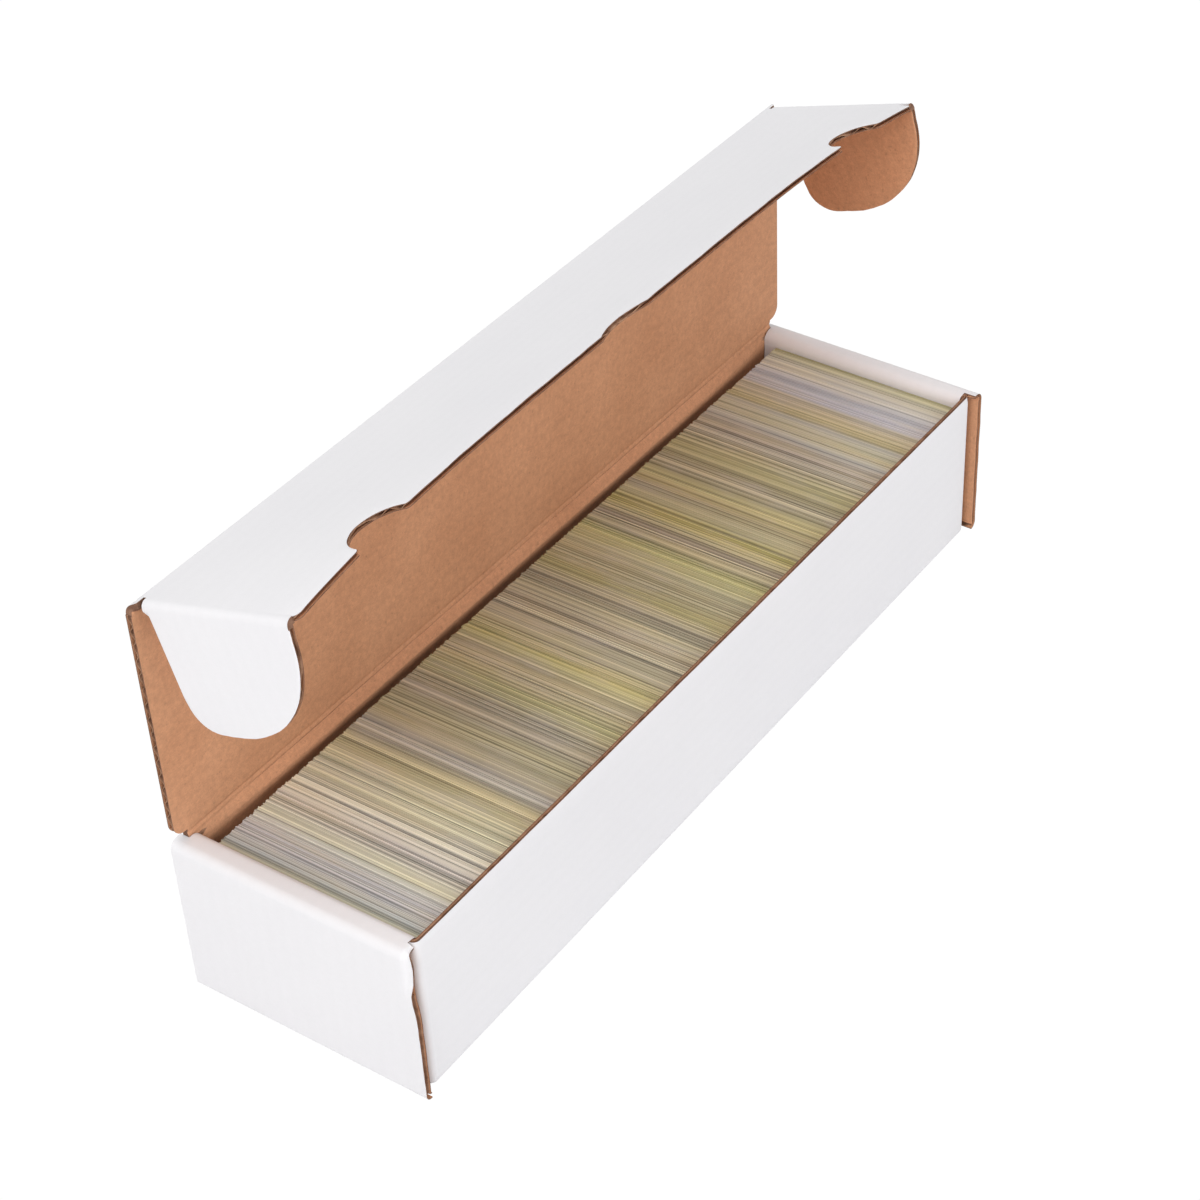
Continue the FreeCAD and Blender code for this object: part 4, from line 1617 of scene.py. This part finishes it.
@dataclass
class Ear(Part):
    """An ear and the crease it hangs from at the flap's end."""

    flap: FrontFlap  # the flap it hangs from
    side: Side
    start: float = 3.4 * MM  # how far out from the flap's axis the ear's root starts
    shoulder: float = 5.5 * MM  # how far out its back edge is
    root: float = 4 * MM  # depth of the narrow root where it meets the shoulder
    root_edge: float = 0.5 * MM  # depth of its front end beside the crease
    root_step: float = 0.1 * MM  # how far before the shoulder it ends
    inset: float = 1.6 * MM  # how far its tip stays back from the flap's free edge
    depth: float = 48.5 * MM  # how deep it reaches
    taper: float = 0.6 * MM  # how far the front edge leans in on its way down
    back_radius: float = 11 * MM  # radius of the back corner
    front_radius: float = 45 * MM  # radius of the long round at the front
    sway: float = 0.15 * MM  # how far its edge wanders from its line
    wave: float = 13 * MM  # wave length of that wandering
    least: float = 0.3 * MM  # the least depth of board beside the crease
    tip_depth: float = 0.6 * MM  # depth of the outline's front end beside the crease
    flute_start: float = 0.4 * MM  # how far the first flute stays back from the rear edge
    flute_end: float = 1.5 * MM  # how far the last one stays back from the tip
    fold_radius: float = 1.5 * MM  # radius of the board round the crease
    inside: float = 0.9  # share of half the thickness that the crease keeps on its kraft side
    step: float = 6 * MM  # the widest spacing of points along the crease
    seed: float = 5.0  # shift of the edge's wave
    back_points: int = 9  # points of the back corner
    foot_points: int = 4  # points of the foot
    front_points: int = 25  # points of the long round
    front_end: float = 4  # angle at which the long round meets the front edge, in degrees
    rows: int = 13  # points from the crease to the edge
    margin: float = 0.01  # share of the depth between an edge and the row beside it
    flute_points: int = 5  # points along a flute
    fold_rows: int = 11  # points round the crease

    @property
    def splay(self) -> float:
        """How far the ear leans out from square: its hinge's range starts at square."""
        return -joint(f"{self.side.word}_ear_hinge")["range_deg"][0] * DEGREE

    @property
    def tip(self) -> float:
        """How far out from the flap's axis the ear ends."""
        return self.flap.depth - self.inset

    def outline(self) -> Grid:
        """The ear's edge from its root: back corner, foot, long round and tip.

        Returns:
            Rows of distance out along the flap and depth.
        """
        back, front, reach = self.shoulder, self.tip - self.taper, self.sizes.reach
        corner, long_round = self.back_radius, self.front_radius
        root = np.array([[self.start, reach + self.root_edge], [back - self.root_step, self.root]])
        rear = arc((back + corner, self.depth - corner), corner, 180, 90, self.back_points)
        centre = (front - long_round, self.depth - long_round)
        nose = arc(centre, long_round, 90, self.front_end, self.front_points)
        foot = np.linspace(rear[-1], nose[0], self.foot_points)[1:-1]
        tip = np.array([[front + self.taper, reach + self.tip_depth]])
        return np.concatenate([root, rear, foot, nose, tip])

    def surface(self, down: Grid, out: Grid) -> tuple[Grid, Grid]:
        """The ear's middle plane, leaning out from square by the splay.

        Args:
            down: depths from the crease.
            out: distances out along the flap.

        Returns:
            Points and normals.
        """
        sine, cosine = math.sin(self.splay), math.cos(self.splay)
        x = self.side.value * (self.sizes.ear_x + down * sine)
        normal = cosine * np.array([float(self.side.value), 0.0, 0.0])
        normal = normal - sine * self.sizes.flap_down
        points = self.flap.place(x, out, down * cosine)
        return points, np.broadcast_to(normal, points.shape)

    def build_board(self) -> None:
        """The ear's board, white outside, cut to the outline."""
        word, reach = self.side.word, self.sizes.reach
        draft = MeshDraft(f"{word}_flap_ear")
        columns, edge = self.outline().T
        crush = self.flap.edge_press(columns, edge)

        def press(down: Grid, out: Grid) -> Grid:
            """The flap's crushing, along the ear's own edge."""
            return crush(out, down)

        def flute_ends(place: Grid) -> tuple[Grid, Grid]:
            """Flutes from the crease to the outline."""
            return np.full(place.shape, reach), np.interp(place, columns, edge)

        wavy = edge + self.sway * ripple(columns, self.wave, self.side.value + self.seed)
        high = np.maximum(wavy, reach + self.least)
        out, down = grid_between(columns, reach, high, edge_shares(self.rows, self.margin))
        self.board.add_liners(draft, self.surface, down, out, press)
        first, last = columns[0] + self.flute_start, columns[-1] - self.flute_end
        run = np.linspace(0, 1, self.flute_points)
        self.board.add_flutes(draft, self.surface, run, first, last, flute_ends)
        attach(self.make(draft, "white_board", f"{word}_ear"), f"{word}_ear")

    def build_fold(self) -> None:
        """The strip that carries the board round the fold between flap and ear.

        Its section is a path in X and depth, with one arc at the crease's axis, and it
        is drawn out along the flap.
        """
        sizes, reach, sign = self.sizes, self.sizes.reach, self.side.value
        draft = MeshDraft(f"{self.side.word}_ear_fold")
        head = (sizes.ear_x - reach, 0.0)
        foot = (sizes.ear_x + reach * math.sin(self.splay), reach * math.cos(self.splay))
        path = FoldedPath([head, (sizes.ear_x, 0.0), foot], [self.fold_radius])
        columns = stations(self.start, self.tip, self.step)
        rows = np.linspace(0, 1, self.fold_rows)
        out, along = grid_between(columns, 0.0, path.length, rows)
        x, down, normal_x, normal_down = path.at(along)
        points = self.flap.place(x * sign, out, down)
        normals = normal_x[..., None] * np.array([sign, 0.0, 0.0])
        normals = (normals + normal_down[..., None] * sizes.flap_down) * sizes.half
        lower = points - normals * self.inside
        draft.add_slab(points + normals, lower, along, out, WHITE_LINER)
        made = self.make(draft, "white_board", f"{self.side.word}_ear_crease")
        middle = (columns[0] + columns[-1]) / 2
        start, end = (tuple(self.flap.place(x * sign, middle, down)) for x, down in (head, foot))
        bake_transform(made)


@dataclass(frozen=True)
class Tint:
    """The common tone of the cards round one place along the row."""

    place: float  # X of that place
    colour: Triple  # red, green and blue of the tone


@dataclass(frozen=True)
class Drift:
    """A tone that comes and goes along the row, in runs of about one length."""

    run: float  # length of a run
    change: Triple  # change of red, green and blue for a height of one

    def over(self, x: Grid, random: np.random.Generator) -> Grid:
        """The change of colour at each place.

        Random heights stand at even knots, with straight lines between them.

        Args:
            x: places along the row.
            random: the stream of random numbers.

        Returns:
            Rows of red, green and blue.
        """
        knots = np.arange(x[0], x[-1] + self.run, self.run)
        return np.interp(x, knots, random.normal(0, 1, len(knots)))[:, None] * self.change


@dataclass
class CardRow(Part):
    """The cards: thin leaves standing on their long edge, in stacks."""

    cards_per_stack: int = 84  # how many cards a stack has
    stack_count: int = 10  # how many stacks there are
    seed: int = 20  # start of the stream of random numbers
    # The least and the most share of an even thickness that a card has.
    thickness: Pair = (0.85, 1.15)
    gap: float = 0.05 * MM  # air between two cards
    drop: float = 0.13 * MM  # how far below the stack's top a card stands, on average
    most_drop: float = 0.7 * MM  # the most that it stands below
    back: float = 0.45 * MM  # how far back a card stands, on average
    back_spread: float = 0.25 * MM  # how much that differs from card to card
    most_back: float = 1.3 * MM  # the furthest back that a card stands
    lean: float = 0.05 * MM  # how far the cards' tops lean to either side
    foot_height: float = 1 * MM  # height below which a card doesn't lean
    contrast: float = 0.13  # how much the cards differ in tone
    dark_share: float = 0.20  # share of the cards darkened as painted shadow of the gaps between cards
    dark_level: float = 0.62  # how dark that painted gap shadow makes them
    light_share: float = 0.12  # share of the cards that are light
    light_level: float = 1.28  # how light those are
    calm_from: float = 128 * MM  # X beyond which the cards differ less
    calm_contrast: float = 0.45  # share of the difference that is left there
    tone_range: Pair = (0.03, 0.92)  # the least and the most of a colour's level
    # The common tones along the row.
    tints: tuple[Tint, ...] = (
        Tint(-183 * MM, (0.58, 0.59, 0.48)),
        Tint(-150 * MM, (0.70, 0.68, 0.56)),
        Tint(-125 * MM, (0.61, 0.58, 0.43)),
        Tint(-100 * MM, (0.49, 0.46, 0.29)),
        Tint(0 * MM, (0.52, 0.49, 0.31)),
        Tint(60 * MM, (0.50, 0.46, 0.26)),
        Tint(120 * MM, (0.56, 0.52, 0.37)),
        Tint(142 * MM, (0.60, 0.57, 0.52)),
        Tint(144 * MM, (0.63, 0.56, 0.38)),
        Tint(155 * MM, (0.64, 0.57, 0.40)),
        Tint(157 * MM, (0.60, 0.58, 0.59)),
        Tint(168 * MM, (0.63, 0.60, 0.53)),
        Tint(183 * MM, (0.50, 0.46, 0.31)),
    )
    drifts: tuple[Drift, ...] = (
        Drift(11 * MM, (0.010, 0.012, -0.032)),
        Drift(8 * MM, (-0.006, -0.010, 0.016)),
        Drift(6 * MM, (0.018, 0.008, -0.012)),
        Drift(4 * MM, (0.020, 0.022, 0.018)),
        Drift(0.9 * MM, (0.060, 0.056, 0.040)),
    )

    def build(self) -> None:
        """Build every stack from one stream of random numbers."""
        random = np.random.default_rng(self.seed)
        nodes = [f"card_stack_{number:02d}" for number in range(1, self.stack_count + 1)]
        widths = random.uniform(*self.thickness, (self.stack_count, self.cards_per_stack))
        cuts = []
        for node, row in zip(nodes, widths):
            low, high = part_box(node)
            marks = np.concatenate([[0.0], np.cumsum(row)])
            cuts.append(low.x + marks / marks[-1] * (high.x - low.x))
        middles = np.concatenate([(marks[1:] + marks[:-1]) / 2 for marks in cuts])
        tones = self.tones(middles, random).reshape(self.stack_count, self.cards_per_stack, 3)
        for node, marks, stack_tones in zip(nodes, cuts, tones):
            self.build_stack(node, marks, stack_tones, random)

    def tones(self, x: Grid, random: np.random.Generator) -> Grid:
        """A colour for each card: the place's tint, drifting tones, light lines, and dark lines of
        painted shadow from the gaps between cards.

        Args:
            x: the cards' places.
            random: the stream of random numbers.

        Returns:
            Rows of red, green and blue.
        """
        marks = [tint.place for tint in self.tints]
        bands = zip(*(tint.colour for tint in self.tints))
        tone = np.stack([np.interp(x, marks, band) for band in bands], axis=1)
        for drift in self.drifts:
            tone = tone + drift.over(x, random)
        shade = random.normal(1.0, self.contrast, len(x))
        draw = random.random(len(x))
        # cards drawn into this share get painted shadow of the gaps between cards
        shade = np.where(draw < self.dark_share, shade * self.dark_level, shade)
        shade = np.where(draw > 1 - self.light_share, shade * self.light_level, shade)
        calm = np.where(x > self.calm_from, self.calm_contrast, 1.0)
        return np.clip(tone * (1 + (shade - 1) * calm)[:, None], *self.tone_range)

    def build_stack(
        self, node: str, cuts: Grid, tones: Grid, random: np.random.Generator
    ) -> None:
        """One stack of separate cards, each a thin box a hair out of line.

        A card's eight corners are its left side's four and then its right side's four,
        each from the front foot over the rear foot and the rear top to the front top.

        Args:
            node: the CAD node that the stack stands for.
            cuts: the places between the cards, one more than there are cards.
            tones: each card's colour.
            random: the stream of random numbers.
        """
        low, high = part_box(node)
        count = len(tones)
        left, right = cuts[:-1] + self.gap / 2, cuts[1:] - self.gap / 2
        drop = np.clip(random.exponential(self.drop, count), 0, self.most_drop)
        back = np.clip(random.normal(self.back, self.back_spread, count), 0, self.most_back)
        lean = random.normal(0, self.lean, count)
        front, rear, top = low.y + back, high.y + back, high.z - drop
        foot = np.full(count, low.z)
        corners = []
        for x in (left, right):
            for y, z in ((front, foot), (rear, foot), (rear, top), (front, top)):
                shift = np.where(z > low.z + self.foot_height, lean, 0.0)
                corners.append(np.stack([x + shift, y, z], axis=1))
        points = np.stack(corners, axis=1).reshape(-1, 3)
        box = np.array(
            [[1, 2, 3, 0], [7, 6, 5, 4], [4, 5, 1, 0], [5, 6, 2, 1], [6, 7, 3, 2], [7, 4, 0, 3]]
        )
        quads = (np.arange(count)[:, None, None] * len(corners) + box).reshape(-1, 4)
        mesh = bpy.data.meshes.new(node.replace("card_stack", "cards"))
        mesh.from_pydata(points.tolist(), [], quads.tolist())
        tone = mesh.attributes.new(Finishes.CARD_TONE, "FLOAT_COLOR", "POINT")
        colours = np.ones((count, len(corners), 4), dtype=np.float32)
        colours[:, :, :3] = tones[:, None, :]
        tone.data.foreach_set("color", colours.ravel())
        mesh.materials.append(self.finishes.card)
        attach(self.seat(link(mesh.name, mesh), "cards", node), node)


# ---- stage


@dataclass(frozen=True)
class SolvedCamera:
    """The camera, as an aim at the box, a lens in picture points and a centre."""

    azimuth: float = -55.77  # way round the box, in degrees
    elevation: float = 40.54  # height above level, in degrees
    roll: float = -1.53  # turn about the line of sight, in degrees
    distance: float = 1087.54 * MM  # distance from the frame's origin along the line of sight
    aside: float = -31.85 * MM  # the origin's offset to the right of that line
    below: float = 13.41 * MM  # the origin's offset below it
    wall_shift: float = 0.5 * MM  # shift of the whole camera along Y
    focal: float = 2725.5  # focal length, in picture points
    centre: Pair = (700.8, 700.2)  # the optical centre, in picture points
    frame: float = 1200.0  # the picture's size, in points
    sensor: float = 36.0  # the sensor's width, in millimetres
    near: float = 0.05  # the nearest distance that is drawn, in metres
    far: float = 50.0  # the furthest distance that is drawn, in metres

    def build(self) -> None:
        """Make the scene's camera: its axes come from azimuth, elevation and roll."""
        a, e, r = (math.radians(angle) for angle in (self.azimuth, self.elevation, self.roll))
        toward = Vector((math.sin(a) * math.cos(e), -math.cos(a) * math.cos(e), math.sin(e)))
        level = (-toward).cross(Vector((0, 0, 1))).normalized()
        upright = level.cross(-toward)
        right = level * math.cos(r) + upright * math.sin(r)
        up = upright * math.cos(r) - level * math.sin(r)
        place = -(right * self.aside - up * self.below - toward * self.distance)
        place.y += self.wall_shift
        data = bpy.data.cameras.new("camera")
        data.sensor_width = self.sensor
        data.lens = self.focal / self.frame * self.sensor
        data.shift_x = (self.frame / 2 - self.centre[0]) / self.frame
        data.shift_y = (self.centre[1] - self.frame / 2) / self.frame
        data.clip_start, data.clip_end = self.near, self.far
        camera = bpy.data.objects.new("camera", data)
        turn = Matrix((right, up, toward)).transposed().to_4x4()
        camera.matrix_world = Matrix.Translation(place) @ turn
        bpy.context.collection.objects.link(camera)
        bpy.context.scene.camera = camera


@dataclass(frozen=True)
class Lamp:
    """One soft, round area lamp that shines at the box."""

    name: str
    place: Triple
    size: float  # its diameter
    power: float  # its power, in watts
    colour: Triple = (1.0, 1.0, 1.0)
    aim: Triple = (0.0, 0.0, 0.08)  # the point it faces

    def build(self) -> None:
        """Add the lamp to the scene."""
        data = bpy.data.lights.new(self.name, "AREA")
        data.shape = "DISK"
        data.size = self.size
        data.energy = self.power
        data.color = self.colour
        lamp = bpy.data.objects.new(self.name, data)
        lamp.location = self.place
        away = Vector(self.place) - Vector(self.aim)
        lamp.rotation_euler = away.to_track_quat("Z", "Y").to_euler()
        bpy.context.collection.objects.link(lamp)


@dataclass(frozen=True)
class Studio:
    """The pale floor, the white surroundings and the lamps."""

    floor_half: float = 4.0  # half the floor's side
    floor_drop: float = 0.1 * MM  # how far the floor lies under the box
    floor_colour: Colour = (0.86, 0.86, 0.87, 1)  # its colour in the box's light
    floor_roughness: float = 0.9
    floor_glow: float = 1.02  # its strength of white to the eye
    world_level: float = 0.62  # strength of the even light on the box
    lamps: tuple[Lamp, ...] = (
        Lamp("left_lamp", (-1.9, -0.5, 1.7), 1.4, 26.5, (1.0, 0.98, 0.965)),
        Lamp("front_lamp", (-0.2, -2.2, 1.1), 1.6, 12.5),
        Lamp("top_lamp", (0.2, 0.3, 2.4), 1.8, 9.5),
    )

    def build(self) -> None:
        """Build floor, world and lamps."""
        self.build_floor()
        self.build_world()
        for lamp in self.lamps:
            lamp.build()

    def seen(self, nodes: bpy.types.Nodes, links: bpy.types.NodeLinks) -> Socket:
        """1 for rays from the camera or off a mirror or through glass, else 0.

        Args:
            nodes: the nodes of a material or world.
            links: their links.

        Returns:
            The number's output.
        """
        path = nodes.new("ShaderNodeLightPath")
        total = path.outputs["Is Camera Ray"]
        for name in ("Is Glossy Ray", "Is Transmission Ray"):
            add = nodes.new("ShaderNodeMath")
            add.operation = "MAXIMUM"
            links.new(total, add.inputs[0])
            links.new(path.outputs[name], add.inputs[1])
            total = add.outputs[0]
        return total

    def build_floor(self) -> None:
        """A wide floor: white to the eye, and pale in the light that reaches the box."""
        half, z = self.floor_half, -self.floor_drop
        mesh = bpy.data.meshes.new("floor")
        corners = [(-half, -half, z), (half, -half, z), (half, half, z), (-half, half, z)]
        mesh.from_pydata(corners, [], [(0, 1, 2, 3)])
        shader = Shader("floor")
        shader.principled.inputs["Base Color"].default_value = self.floor_colour
        shader.principled.inputs["Roughness"].default_value = self.floor_roughness
        shader.principled.inputs["Specular IOR Level"].default_value = 0.0
        glow = shader.node("ShaderNodeEmission")
        glow.inputs["Strength"].default_value = self.floor_glow
        pale, white = shader.principled.outputs[0], glow.outputs[0]
        seen = self.seen(shader.nodes, shader.links)
        mix = shader.node("ShaderNodeMixShader", seen, pale, white)
        shader.feed(shader.nodes["Material Output"].inputs["Surface"], mix.outputs[0])
        mesh.materials.append(shader.material)
        link("floor", mesh)

    def build_world(self) -> None:
        """A white world to the eye, and an even soft light on the box."""
        world = bpy.data.worlds.new("studio")
        world.use_nodes = True
        bpy.context.scene.world = world
        nodes, links = world.node_tree.nodes, world.node_tree.links
        background = nodes["Background"]
        background.inputs["Color"].default_value = (1, 1, 1, 1)
        level = nodes.new("ShaderNodeMapRange")
        level.inputs["To Min"].default_value = self.world_level
        level.inputs["To Max"].default_value = 1.0
        links.new(self.seen(nodes, links), level.inputs["Value"])
        links.new(level.outputs[0], background.inputs["Strength"])


def main() -> None:
    """Build the box, its cards and the studio, and report each part of the box and the cards."""
    logging.basicConfig(level=logging.INFO, format="%(name)s: %(message)s")
    bpy.context.scene.view_settings.view_transform = "Standard"
    sizes = BoxSizes.from_frame()
    board = Board(sizes.board)
    finishes = Finishes(board)
    for part in (Tray, Lid, FrontFlap, CardRow):
        part(sizes, board, finishes).build()
        LOG.info("%s built", part.__name__)
    SolvedCamera().build()
    Studio().build()


if __name__ == "__main__":
    main()
